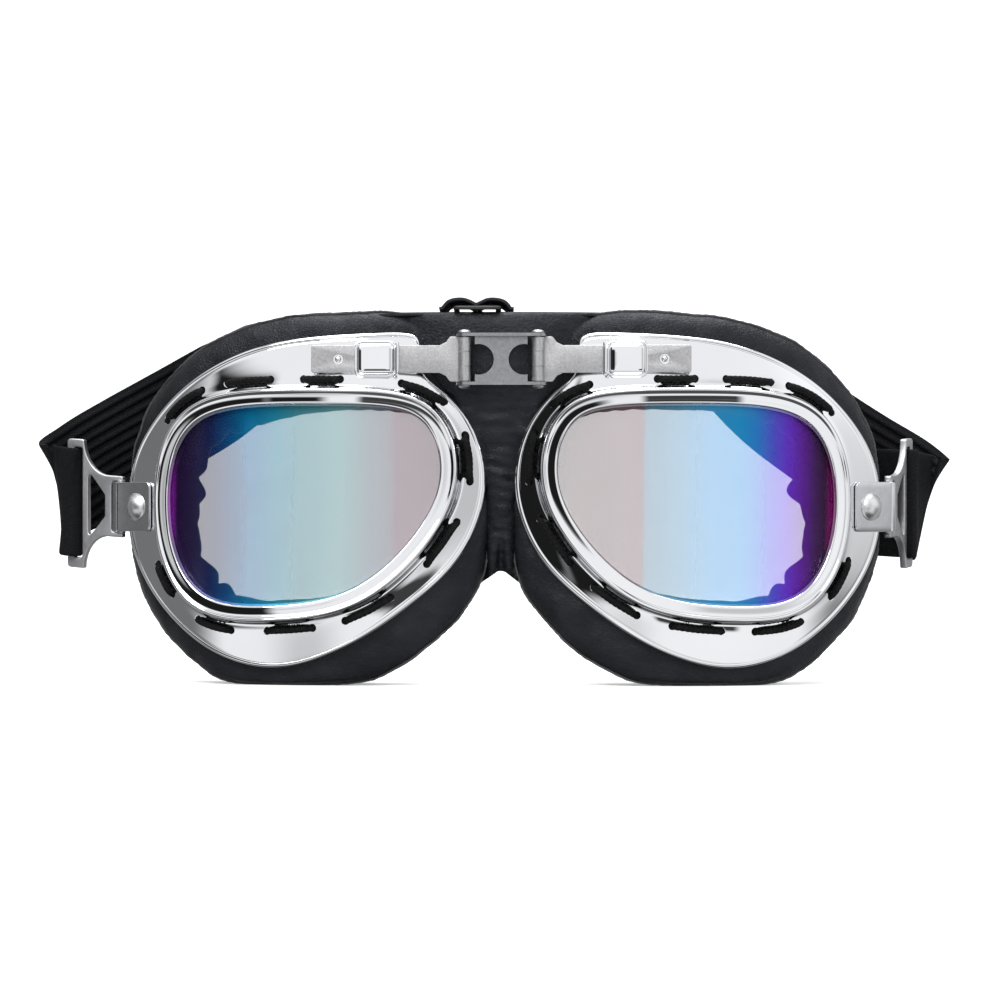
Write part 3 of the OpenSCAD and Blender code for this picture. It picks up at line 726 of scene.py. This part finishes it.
def cut_lace_holes(shell, side):
    """Cuts the holes, and keeps the whole surface's shading round them."""
    whole = shell.data.copy()
    cutter = solid(side + "_lace_holes", lace_holes(side), CHROME)
    cut = shell.modifiers.new("holes", "BOOLEAN")
    cut.object = cutter
    cut.solver = "EXACT"
    source = in_scene("uncut_shell", whole)
    keep = shell.modifiers.new("shading", "DATA_TRANSFER")
    keep.object = source
    keep.use_loop_data = True
    keep.data_types_loops = {"CUSTOM_NORMAL"}
    keep.loop_mapping = "POLYINTERP_NEAREST"
    keep.max_distance = 0.00005
    keep.use_max_distance = True
    bpy.context.view_layer.update()
    made = bpy.data.meshes.new_from_object(shell.evaluated_get(bpy.context.evaluated_depsgraph_get()))
    shell.modifiers.clear()
    shell.data = made
    for extra in (cutter, source):
        bpy.data.objects.remove(extra)


def build_shell(side):
    body = side + "_cup"
    shell = solid(side + "_shell_chrome", [shell_surface(side)], CHROME)
    cut_lace_holes(shell, side)
    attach(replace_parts(shell, side + "_shell"), body)
    loop = solid(side + "_keeper", [keeper_pillow(side), keeper_lip(side)], CHROME, 40)
    land = solid(side + "_arm_land", [arm_land(side), catch_dome(side)], CHROME, 35)
    for piece in (loop, land):
        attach(piece, body)


# ---- lenses ----


def build_lens(side):
    """A curved lens 1.8 mm thick, its edge behind the rim."""
    rows = Rows(260)
    edge = rows.near_rim(2.6)
    shares = np.sin(np.linspace(0.02, 1, 26) * np.pi / 2)
    front = np.stack([on_cup(k * edge, 0.95) for k in shares])
    back = np.stack([on_cup(k * edge, -0.85) for k in shares[::-1]])
    part = placed(grid(np.concatenate([front, back]), caps=True), at_lens, side)
    piece = solid(side + "_lens_curved", [part], LENS[side], 40)
    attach(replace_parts(piece, side + "_lens"), side + "_cup")


# ---- laces ----

LACE_STEP = 0.17
LACE_PITCH = 2.6  # of the braid


def lace_path(side):
    """The lace goes over the flange in each stitch and under it between stitches."""
    rows = LACE_ROWS[side]
    over, under = LACE_D / 2 + 0.15, -SHELL_T - LACE_D / 2 - 0.15
    points = []
    for i in range(0, len(rows), 2):
        a, b = rows[i], rows[i + 1]
        c = rows[i + 2] if i + 2 < len(rows) else rows[0] + len(OUTLINE)
        for s, h in (
            (a, -0.8), (a + 0.15 * (b - a), over), ((a + b) / 2, over + 0.1), (b - 0.15 * (b - a), over),
            (b, -0.8), (b + 0.2 * (c - b), under), (c - 0.2 * (c - b), under),
        ):
            points.append(lace_point(s, h)[0])
    return np.array(points)


def build_lace(side):
    """The lace at even steps along its path, with eight crossing strands on its surface."""
    points = lace_path(side)
    s = np.arange(len(points) * 26) / 26
    line = loop_at(points, s)
    step = np.linalg.norm(np.roll(line, -1, 0) - line, axis=1)
    length = np.concatenate([[0], np.cumsum(step)])
    even = np.linspace(0, length[-1], int(length[-1] / LACE_STEP), endpoint=False)
    closed = np.vstack([line, line[:1]])
    line = np.column_stack([np.interp(even, length, closed[:, k]) for k in range(3)])
    along = unit(np.roll(line, -1, 0) - np.roll(line, 1, 0))
    out = line * [1, 0, 1] - [0, 0, CUP_Z]
    w = unit(np.cross(along, out))
    a = np.arange(20) * np.pi / 10
    twist = even[:, None] * 4 * np.pi / LACE_PITCH
    braid = np.maximum(np.cos(4 * a + twist), np.cos(4 * a - twist))
    rings = tube(line, w, np.cross(along, w), LACE_D / 2 * (0.93 + 0.11 * braid), len(a))
    piece = solid(side + "_lace_braided", [placed(grid(rings, along=True), at_lens, side)], CORD)
    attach(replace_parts(piece, side + "_lace"), side + "_cup")


# ---- pads ----

# The opening at the back of a pad: how much of the lens opening's temple side it keeps, how far its top
# falls there, and how far the pad fills its temple corner
PAD_EYE = {"left": (0.885, 2.9, 0.0), "right": (0.85, 0.6, 3.2)}
NOSE_ROOM = 8
SEAM_LINE = 2.75  # of the pad's control lines
GROUND_SOFT = 2.4  # the pads' undersides flatten within this height of the ground


def pad_control(rows, side):
    """Control lines round the pad's section: under the rim, over the crown, down the back and up the eye."""

    def nose_room(p, share):
        shift = NOSE_ROOM * share * np.clip((-p[:, 0] - 18) / 24, 0, 1)
        return p + np.column_stack([shift, np.zeros(len(p))])

    inner, edge, wide = rows.near_rim(4.2), rows.on_flange(0.88), rows.pad
    x, y = rows.opening.T
    temple_share, top_fall, corner_fill = PAD_EYE[side]
    foot = 0.05 * smoothstep((-y - 2) / 14)
    eye = np.column_stack([x * np.where(x > 0, temple_share + foot, 0.98), 0.97 * y])
    eye[:, 1] -= top_fall * smoothstep((x + 12) / 34) * smoothstep((y - 8) / 12)
    eye[:, 0] -= corner_fill * np.exp(-((y - 6) / 5) ** 2) * smoothstep(x / 20)
    temple = smoothstep((x - 8) / 18)
    scallop = np.abs(np.sin(np.pi * rows.s * 1.02 + 0.6 + 0.5 * np.sin(rows.s * 2.3))) ** 0.8
    depth = 1.7 + 0.9 * np.sin(rows.s * 1.7 + 1)
    eye = eye - rows.out * (temple * (depth * scallop - 0.6))[:, None]
    crown = wide + np.column_stack([np.zeros(rows.count), 1.3 * smoothstep((wide[:, 1] - 30) / 12)])
    drop = rows.drop(0.88) - SHELL_T
    back = nose_room(0.35 * eye + 0.65 * wide, 1)
    rear = -PAD_DEPTH + 0.35 * sag(wide[:, 0])
    lines = [
        (inner, np.full(rows.count, -4.4)), (edge, drop - 0.5),
        (nose_room(0.75 * crown + 0.25 * edge, 0.05), drop - 1.6), (nose_room(crown, 0.3), drop - 5.5),
        (nose_room(0.98 * wide, 0.75), 0.8 * rear), (nose_room(0.12 * eye + 0.88 * wide, 1), rear + 0.8),
        (back, rear), (0.8 * eye + 0.2 * back, rear + 1.6), (eye, 0.7 * rear),
        (0.5 * eye + 0.5 * inner, np.full(rows.count, -8.0)),
    ]
    return [on_cup(p, h) for p, h in lines]


def build_pad(side):
    """The padded cover, with gathers at the back, tucks at the front edge and lumps all over."""
    rows = Rows(340)
    control = np.stack(pad_control(rows, side))
    surface, fine = refined(control, 6)
    outward = unit(surface - surface.mean(axis=1, keepdims=True))
    share = fine / len(control)
    angle = rows.s[:, None] * 2 * np.pi / len(OUTLINE)
    gather = np.exp(-((share - 0.77) / 0.09) ** 2)[None]
    tuck = np.exp(-((share - 0.12) / 0.035) ** 2)[None]
    wave = np.sin(angle * 28 + 1.3 * np.sin(angle * 7)) + 0.4 * np.sin(angle * 45 + 2.1 * np.sin(angle * 5))
    seed = 3.1 if side == "left" else 8.4
    lumps = rough(surface.reshape(-1, 3), 7.0, seed).reshape(surface.shape[:2])
    fine_lumps = rough(surface.reshape(-1, 3), 2.6, 1.7).reshape(surface.shape[:2])
    push = 0.1 * gather * wave - 0.16 * tuck * (wave + 0.8)
    push = push + (0.36 * lumps + 0.14 * fine_lumps) * (1 - 0.7 * gather)
    surface = surface + push[..., None] * outward
    z = surface[..., 2]
    flattened = GROUND_SOFT * np.exp(np.minimum(z - GROUND_SOFT, 0) / GROUND_SOFT)
    surface[..., 2] = np.where(z < GROUND_SOFT, flattened, z)
    piece = solid(side + "_pad_cover", [placed(grid(surface, along=True), at_lens, side)], LEATHER)
    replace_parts(piece, side + "_pad_leather", side + "_pad_foam")
    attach(piece, side + "_cup")
    build_pad_seam(side, rows, surface, fine)


def build_pad_seam(side, rows, surface, fine):
    """The raised, slightly uneven cut edge where the front and side panels are sewn together."""
    at = int(np.argmin(np.abs(fine - SEAM_LINE)))
    line = surface[:, at]
    along = unit(np.roll(line, -1, 0) - np.roll(line, 1, 0))
    out = unit(line - surface.mean(axis=1))
    ridge = 0.34 + 0.05 * np.sin(rows.s * 2 * np.pi * 6)
    rings = tube(line + 0.12 * out, 1.25 * out, 0.8 * unit(np.cross(along, out)), ridge[:, None], 12)
    rings[..., 2] = np.maximum(rings[..., 2], 0)
    seam = solid(side + "_pad_seam", [placed(grid(rings, along=True), at_lens, side)], LEATHER_EDGE)
    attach(seam, side + "_cup")


# ---- leather over the nose ----

# Height, half width, and how far the leather lies behind the hinge's axis at the middle and at its edge
NOSE = np.array([
    [28.7, 6.2, 11.6, 14.6], [32, 5.8, 10.2, 13.6], [38, 5.5, 8.9, 12.8], [44, 5.6, 7.5, 11.8],
    [54, 6.6, 5.5, 10.4], [64, 9.6, 4.3, 9.0], [72, 15.0, 3.3, 8.2], [77, 18.5, 2.9, 7.0],
    [83, 20.5, 2.9, 6.6], [88, 21.5, 3.2, 7.2], [91.4, 24.5, 3.7, 8.0], [93.3, 27.0, 4.5, 8.4],
    [94.1, 28, 5.6, 9.0], [93.9, 28, 7.2, 10.4],
])


def nose_surface(half):
    """Half of the saddle between the pads, gathered at its foot and creased across: -1 is the left half."""
    heights = np.linspace(0, len(NOSE) - 1, 170)
    rows = path_at(NOSE, heights)
    a = np.linspace(0, 1, 44)
    steep = 0.7 if half < 0 else 0.8
    rings = []
    for z, w, front, edge in rows:
        x = w * a * (1 if half < 0 else 0.72 + 0.28 * smoothstep((z - 30) / 14))
        low = smoothstep((42 - z) / 12)
        seam = 1.9 * low * np.exp(-((x / 1.1) ** 2)) + 1.1 * low * np.exp(-(((x - 4.2) / 0.8) ** 2))
        y = front + (edge - front) * a**2.2 + seam
        drop = low * steep * np.maximum(x - 0.8, 0)
        outer = np.column_stack([half * x, y, z - drop])
        thickness = 1.3 + 1.5 * a[::-1]
        inner = outer[::-1] + np.column_stack([np.zeros(44), thickness, np.zeros(44)])
        rings.append(np.vstack([outer, inner]))
    rings = np.array(rings)
    flat = rings.reshape(-1, 3)
    lumps = 0.5 * rough(flat * [0.4, 1, 1.5], 3.0, 4.2) + 0.2 * rough(flat * [0.45, 1, 2.2], 1.3, 2.2)
    crease = np.sin(flat[:, 2] * 2.2 + 1.4 * np.sin(flat[:, 0] * 0.5))
    lumps += 0.3 * crease * np.exp(-((flat[:, 2] - 53) / 6) ** 2)
    quiet = smoothstep((76 - flat[:, 2]) / 5) + 0.22
    flat[:, 1] += np.clip(lumps * quiet, -0.6, 0.6)
    return rings


def build_nose():
    for half, side in ((-1, "left"), (1, "right")):
        rings = nose_surface(half) + CENTRE
        piece = solid("nose_saddle_" + side, [grid(rings, caps=True)], LEATHER, 60)
        if side == "left":
            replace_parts(piece, "nose_leather")
        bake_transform(piece)


# ---- hinge arms, pins, tabs, rivets and hooks ----


def build_arm(side):
    """The flat arm with its catch hole, and the knuckle rolled round the pin in three lengths."""
    outline = rounded([[0, -5.65], [3.6, -5.65], [4.6, -4.25], [6.2, -ARM_H / 2], [ARM_L, -ARM_H / 2],
                       [ARM_L, ARM_H / 2], [6.2, ARM_H / 2], [4.6, 4.25], [3.6, 5.65], [0, 5.65]], 0.7)
    hole = tube([CATCH_X * X], X, Y, 1.25, 32)[0, :, :2]
    sheet = plate([outline, hole], SHEET_T, 0.08)
    flat = placed(stood_up(sheet, LAND_Y - SHEET_T / 2), in_arm, side)
    profile = [[0.8, -5.55], [1.4, -5.55], [1.52, -5.45]]
    for z in (-1.9, 1.9):
        profile += [[1.55, z - 0.14], [1.42, z - 0.05], [1.42, z + 0.05], [1.55, z + 0.14]]
    profile += [[1.52, 5.45], [1.4, 5.55], [0.8, 5.55]]
    knuckle = placed(lathe(profile), in_arm, side)
    piece = solid(side + "_arm_sheet", [flat, knuckle], STEEL, 30)
    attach(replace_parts(piece, side + "_hinge_arm"), side + "_cup")


def build_pin(side):
    head = [[0.75, 0], [1.45, 0.02], [1.6, 0.18], [1.58, 0.38], [1.3, 0.66], [0.85, 0.84], [0.3, 0.9]]
    shank = [[0.75, -6.6], [0.75, 6.6]]
    parts = [lathe(shank)]
    for up in (1, -1):
        parts.append(moved(lathe(head), lambda v, u=up: (v + [0, 0, 6.5]) * [1, 1, u]))
    place = CENTRE + [SIDE[side] * PIN_X, 0, BRIDGE_Z]
    piece = solid(side + "_pin_headed", [moved(p, lambda v: v + place) for p in parts], STEEL, 35)
    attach(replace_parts(piece, side + "_hinge_pin"), "bridge")


def build_tab(side):
    """The tab's flat front and its barrel round the hook's inner bar."""
    outline = rounded([[8.1, -TAB_H / 2], [8.1, TAB_H / 2], [-5, TAB_H / 2], [-5, -TAB_H / 2]], 1.6, 8)
    sheet = plate([outline], SHEET_T, 0.16)
    flat = placed(stood_up(sheet, -0.5), in_tab, side)
    profile = [
        [1.25, -6.35], [1.75, -6.35], [1.95, -6.2], [2.0, -5.9], [2.0, 5.9], [1.95, 6.2], [1.75, 6.35],
        [1.25, 6.35],
    ]
    barrel = placed(moved(lathe(profile), lambda v: v + [*BARREL, 0]), in_tab, side)
    piece = solid(side + "_tab_sheet", [flat, barrel], NICKEL, 35)
    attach(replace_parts(piece, side + "_strap_tab"), side + "_cup")


def build_rivet(side):
    """A dome on a fine collar, and the shank through the tab."""
    dome = [
        [3.1, 0], [3.5, 0.03], [3.52, 0.2], [3.36, 0.34], [3.22, 0.36], [3.1, 0.52], [2.7, 1.0], [2.15, 1.4],
        [1.5, 1.7], [0.95, 1.85], [0.45, 1.93], [0.1, 1.95],
    ]
    shank = [[1.4, -2.9], [1.4, 0.2]]
    parts = [placed(stood_up(lathe(profile, 64), -0.9, -1), in_tab, side) for profile in (dome, shank)]
    piece = solid(side + "_rivet_domed", parts, RIVET, 50)
    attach(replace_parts(piece, side + "_tab_rivet"), side + "_cup")


def build_hook(side):
    """A cast frame with a window and the strap's slot, and the bar that the tab is folded round."""
    lift = 0.075  # how the strap's pull raises the outer end
    a = np.radians(np.arange(0, 91, 9))
    curve = np.column_stack([3.4 + 6.9 * np.sin(a), 7.9 + 8.8 * (1 - np.cos(a))])
    upper = np.vstack([[[-0.9, 7.9]], curve, [[15.1, 16.7]]])
    lower = upper[::-1] * [1, -1]
    loop = np.vstack([upper, lower, [[-0.9, -6.65], [2.4, -6.65], [2.4, 6.65], [-0.9, 6.65]]])

    def raised(points):
        p = np.array(points, float)
        return np.column_stack([p[:, 0], p[:, 1] + lift * p[:, 0]])

    window = rounded(raised([[4.3, -2.8], [9.1, -8.8], [9.1, 8.8], [4.3, 2.8]]), 0.8)
    slot = rounded(raised([[10.8, -14], [13.1, -14], [13.1, 14.5], [10.8, 14.5]]), 0.6)
    sheet = plate([rounded(raised(loop), 1.1), window, slot], 1.8, 0.3)
    frame_part = placed(stood_up(sheet, 0), in_hook, side)
    bar = placed(lathe([[0.9, -7.0], [1.15, -6.8], [1.15, 6.8], [0.9, 7.0]]), in_hook, side)
    piece = solid(side + "_hook_cast", [frame_part, bar], CAST, 40)
    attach(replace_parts(piece, side + "_strap_hook"), side + "_hook")


# ---- strap ----


def webbing_outline(groove, rib, back):
    """The webbing's section, as [share of the half width, height]. Its ribbed side stands up by groove, and
    by rib more in its ribs. Its plain side stands out by back."""
    u = np.linspace(-1, 1, RIBS * 10 + 1)
    lump = np.abs(np.sin(np.linspace(0, RIBS * np.pi, len(u)))) ** 0.6
    edge = np.sqrt(np.clip(1 - np.abs(u) ** 24, 0, 1))
    ribbed = np.column_stack([u, edge * (groove + rib * lump)])
    return np.vstack([ribbed, np.column_stack([u[::-1], -back * edge[::-1]])])


def webbing(rows, start, end, ribs_on):
    """An elastic band along the strap's path between two places in it, ribbed on one of its sides."""
    s = np.linspace(start, end, int((end - start) * 26) + 2)
    line = path_at(rows[:, :3], s)
    along = heading(rows[:, :3], s, 0.04)
    across = path_at(rows[:, 3:], s)
    w = unit(across - np.sum(across * along, axis=1, keepdims=True) * along)
    v = ribs_on * np.cross(along, w)
    length = np.concatenate([[0], np.cumsum(np.linalg.norm(np.diff(line, axis=0), axis=1))])
    half_t = STRAP_T / 2
    outline = webbing_outline(0.45 * half_t, 0.7 * half_t, 0.86 * half_t)
    rings = line[:, None] + outline[None, :, :1] * STRAP_W / 2 * w[:, None]
    rings = rings + outline[None, :, 1:] * v[:, None]
    verts, faces, corners = grid(rings + CENTRE, caps=True)
    count = len(outline)
    place = np.append(outline[:, 0], outline[0, 0]) * STRAP_W / 2
    place[count // 2:] += PLAIN_UV
    column = np.minimum(corners[:, 0] * count + 0.01, count).astype(int)
    row = np.minimum(corners[:, 1] * len(s) + 0.01, len(s) - 1).astype(int)
    return verts, faces, np.column_stack([place[column], length[row]])


def build_strap(side):
    """The loop round the hook's outer bar, the fold beside it, and the band to the slider."""
    rows, ribs_on = STRAP[side], -SIDE[side]
    hook, cup = side + "_hook", side + "_cup"

    loop = solid(side + "_strap_loop", [webbing(rows, 0, 3.1, ribs_on)], WEBBING)
    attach(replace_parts(loop, side + "_strap"), hook)
    fold = solid(side + "_strap_fold", [webbing(rows, 3.1, 9, ribs_on)], WEBBING)
    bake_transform(fold)
    band = solid(side + "_strap_band", [webbing(rows, 9, len(rows) - 1, ribs_on)], WEBBING)
    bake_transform(band)


def build_slider():
    """The slider, and the strap's two humps over it."""
    humps = np.array([
        [-9.6, 94.75], [-8.7, 95.0], [-8.1, 95.7], [-7.2, 96.6], [-5.6, 97.12], [-3.6, 97.15], [-1.9, 96.6],
        [-0.4, 95.9], [1.0, 96.4], [2.7, 97.1], [4.7, 97.15], [6.5, 96.7], [7.6, 95.8], [8.1, 95.0],
        [9.1, 94.75],
    ])
    s = np.linspace(0, len(humps) - 1, 160)
    p = path_at(humps, s)
    d = heading(humps, s, 0.05)
    outline = webbing_outline(0.476, 0.204, 0.6)
    middle = CENTRE + SLIDER_AT
    across, up = outline[:, 0] * STRAP_W / 2, outline[:, 1]
    rings = np.stack([np.column_stack([q[0] - up * e[1], across, q[1] + up * e[0]]) for q, e in zip(p, d)])
    piece = solid("slider_humps", [grid(rings + middle, caps=True, uv=(0.25, 0.2))], WEBBING)
    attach(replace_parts(piece, "slider_loop"), "slider")
    outline = rounded([[-6, -17], [6, -17], [6, 17], [-6, 17]], 1.6)
    windows = [
        rounded([[x - 1.7, -15], [x + 1.7, -15], [x + 1.7, 15], [x - 1.7, 15]], 0.7) for x in (-2.9, 2.9)]
    buckle = moved(plate([outline, *windows], 0.9, 0.3), lambda q: q + middle + [0, 0, 95.05])
    piece = solid("slider_buckle", [buckle], PLASTIC, 40)
    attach(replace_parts(piece, "strap_slider"), "slider")


def finish_cad_nodes():
    """Materials and softened edges for the CAD nodes that stay."""
    for name, look, width, slot in (
        ("bridge_plate", PLATE_STEEL, 0.12, "stainless_sheet"),
        ("left_lens_retainer", RUBBER, 0.0, "black_rubber"),
        ("right_lens_retainer", RUBBER, 0.0, "black_rubber"),
    ):
        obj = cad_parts[name]
        obj.data.materials.clear()
        obj.data.materials.append(look)
        if width:
            soften = obj.modifiers.new("edges", "BEVEL")
            soften.width = width * 0.001
            soften.segments = 3
            soften.limit_method = "ANGLE"
            soften.angle_limit = math.radians(35)
            soften.harden_normals = True


BUILDERS = (build_shell, build_lens, build_lace, build_pad, build_arm, build_pin, build_tab, build_rivet,
            build_hook, build_strap)
for cup_side in SIDE:
    for build in BUILDERS:
        build(cup_side)
build_nose()
build_slider()
finish_cad_nodes()

# ---- studio ----


def wrap(tree, value, low, high, soft):
    """1 between low and high, with soft edges."""

    def step(middle, before, after):
        inputs = {"Value": value, "From Min": middle - soft, "From Max": middle + soft, "To Min": before,
                  "To Max": after}
        n = node(tree, "ShaderNodeMapRange", inputs, interpolation_type="SMOOTHSTEP")
        return n.outputs["Result"]

    return math_node(tree, "MULTIPLY", step(low, 0.0, 1.0), step(high, 1.0, 0.0))


# Cards round the object, seen only in reflections, on a dome that glows at DOME_GLOW between them: (azimuth
# from, to, elevation from, to, softness, brightness), in degrees. Azimuth 0 is the side the goggles face,
# and negative azimuths are on the wearer's right.
DOME_GLOW = 0.95
DOME_R = 3.0
CARDS = [
    (-180, 180, -95, -38, 6, 0.08),
    (95, 185, -60, 50, 12, 0.48),
    (-185, -104, -60, 50, 10, 0.34),
    (-106, -66, -45, 30, 9, 0.18),
    (-34, -10, -60, -20, 10, 0.62),
    (50, 100, 4, 44, 10, 1.05),
    (66, 102, -42, -2, 8, 0.24),
    (16, 46, -6, 16, 6, 0.60),
    (-4, 30, -19, -8, 2, 0.05),
    (-62, -36, -15, 21, 3, 0.012),
    (-37, -16, -15, 8, 3, 0.012),
    (-180, 180, 55, 60, 2, 0.08),
    (-180, 180, 84, 95, 3, 0.2),
]


def reflection_dome():
    mesh = bpy.data.meshes.new("reflection_cards")
    b = bmesh.new()
    bmesh.ops.create_uvsphere(b, u_segments=96, v_segments=48, radius=DOME_R)
    b.to_mesh(mesh)
    b.free()
    m = bpy.data.materials.new("reflection_cards")
    m.use_nodes = True
    tree = m.node_tree
    tree.nodes.clear()
    where = node(tree, "ShaderNodeTexCoord").outputs["Object"]
    xyz = node(tree, "ShaderNodeSeparateXYZ", {"Vector": where})
    degrees = 180 / math.pi
    front = math_node(tree, "MULTIPLY", xyz.outputs["Y"], -1.0)
    azimuth = math_node(tree, "MULTIPLY", math_node(tree, "ARCTAN2", xyz.outputs["X"], front), degrees)
    height = math_node(tree, "DIVIDE", xyz.outputs["Z"], DOME_R)
    elevation = math_node(tree, "MULTIPLY", math_node(tree, "ARCSINE", height), degrees)
    value = DOME_GLOW
    for a0, a1, e0, e1, soft, bright in CARDS:
        mask = wrap(tree, elevation, e0, e1, soft)
        if (a0, a1) != (-180, 180):
            mask = math_node(tree, "MULTIPLY", mask, wrap(tree, azimuth, a0, a1, soft))
        mix = node(tree, "ShaderNodeMapRange", {"Value": mask, "To Min": value, "To Max": bright})
        value = mix.outputs["Result"]
    glow = node(tree, "ShaderNodeEmission", {"Strength": value})
    out = node(tree, "ShaderNodeOutputMaterial", {"Surface": glow.outputs["Emission"]})
    out.is_active_output = True
    dome = new_object("reflection_cards", mesh, m)
    dome.location = (0, 0, 0.047)
    for kind in ("camera", "diffuse", "shadow", "transmission", "volume_scatter"):
        setattr(dome, "visible_" + kind, False)


def floor_and_backdrop():
    """A pale floor that curves up behind into the backdrop."""
    profile = [(-2.2, 0.0), (-1.0, 0.0), (0.0, 0.0), (0.9, 0.0)]
    turns = np.linspace(0.08, math.pi / 2, 18)
    profile += [(0.9 + 0.9 * math.sin(a), 0.9 - 0.9 * math.cos(a)) for a in turns]
    profile += [(1.8, 2.6)]
    verts, faces = [], []
    for y, z in profile:
        verts += [(-3.0, y, z - 0.00002), (3.0, y, z - 0.00002)]
    for i in range(len(profile) - 1):
        faces.append((2 * i, 2 * i + 1, 2 * i + 3, 2 * i + 2))
    mesh = bpy.data.meshes.new("floor")
    mesh.from_pydata(verts, [], faces)
    mesh.polygons.foreach_set("use_smooth", [True] * len(mesh.polygons))
    look = Look("pale_floor", Specular_IOR_Level=0.2, Emission_Strength=0.34, Emission_Color=(1, 1, 1, 1))
    look.colour(look.grain(40), (0.3, grey(0.86)), (0.7, grey(0.88)))
    look.roughness(look.grain(90), 0.7, 0.8)
    floor = new_object("pale_floor", mesh, look.material)
    floor.visible_glossy = False


def area_light(name, place, target, size, power, shows):
    """A rectangular light; shows says whether it's seen in reflections."""
    data = bpy.data.lights.new(name, "AREA")
    data.shape = "RECTANGLE"
    data.size, data.size_y = size
    data.energy = power
    lamp = in_scene(name, data)
    lamp.location = place
    lamp.rotation_euler = (Vector(target) - Vector(place)).to_track_quat("-Z", "Y").to_euler()
    lamp.visible_glossy = shows


def studio():
    world = bpy.data.worlds.new("studio")
    scene.world = world
    world.use_nodes = True
    background = world.node_tree.nodes["Background"]
    background.inputs["Color"].default_value = (1, 1, 1, 1)
    background.inputs["Strength"].default_value = 0.75
    reflection_dome()
    floor_and_backdrop()
    middle = (0, 0, 0.05)
    area_light("key_softbox", (-0.35, -0.75, 0.85), middle, (0.7, 0.5), 9, True)
    area_light("top_softbox", (0.1, 0.15, 1.1), middle, (0.9, 0.7), 12, True)
    area_light("fill_softbox", (0.8, -0.5, 0.35), middle, (0.5, 0.6), 4, False)
    scene.view_settings.view_transform = "Standard"
    data = bpy.data.cameras.new("front_view")
    data.lens = 129.6
    data.sensor_width = 36
    data.clip_start, data.clip_end = 0.05, 20
    camera = in_scene("front_view", data)
    camera.location = (0.00203, -0.92303, 0.04675)
    camera.rotation_euler = (math.pi / 2, 0, 0)
    scene.camera = camera


studio()
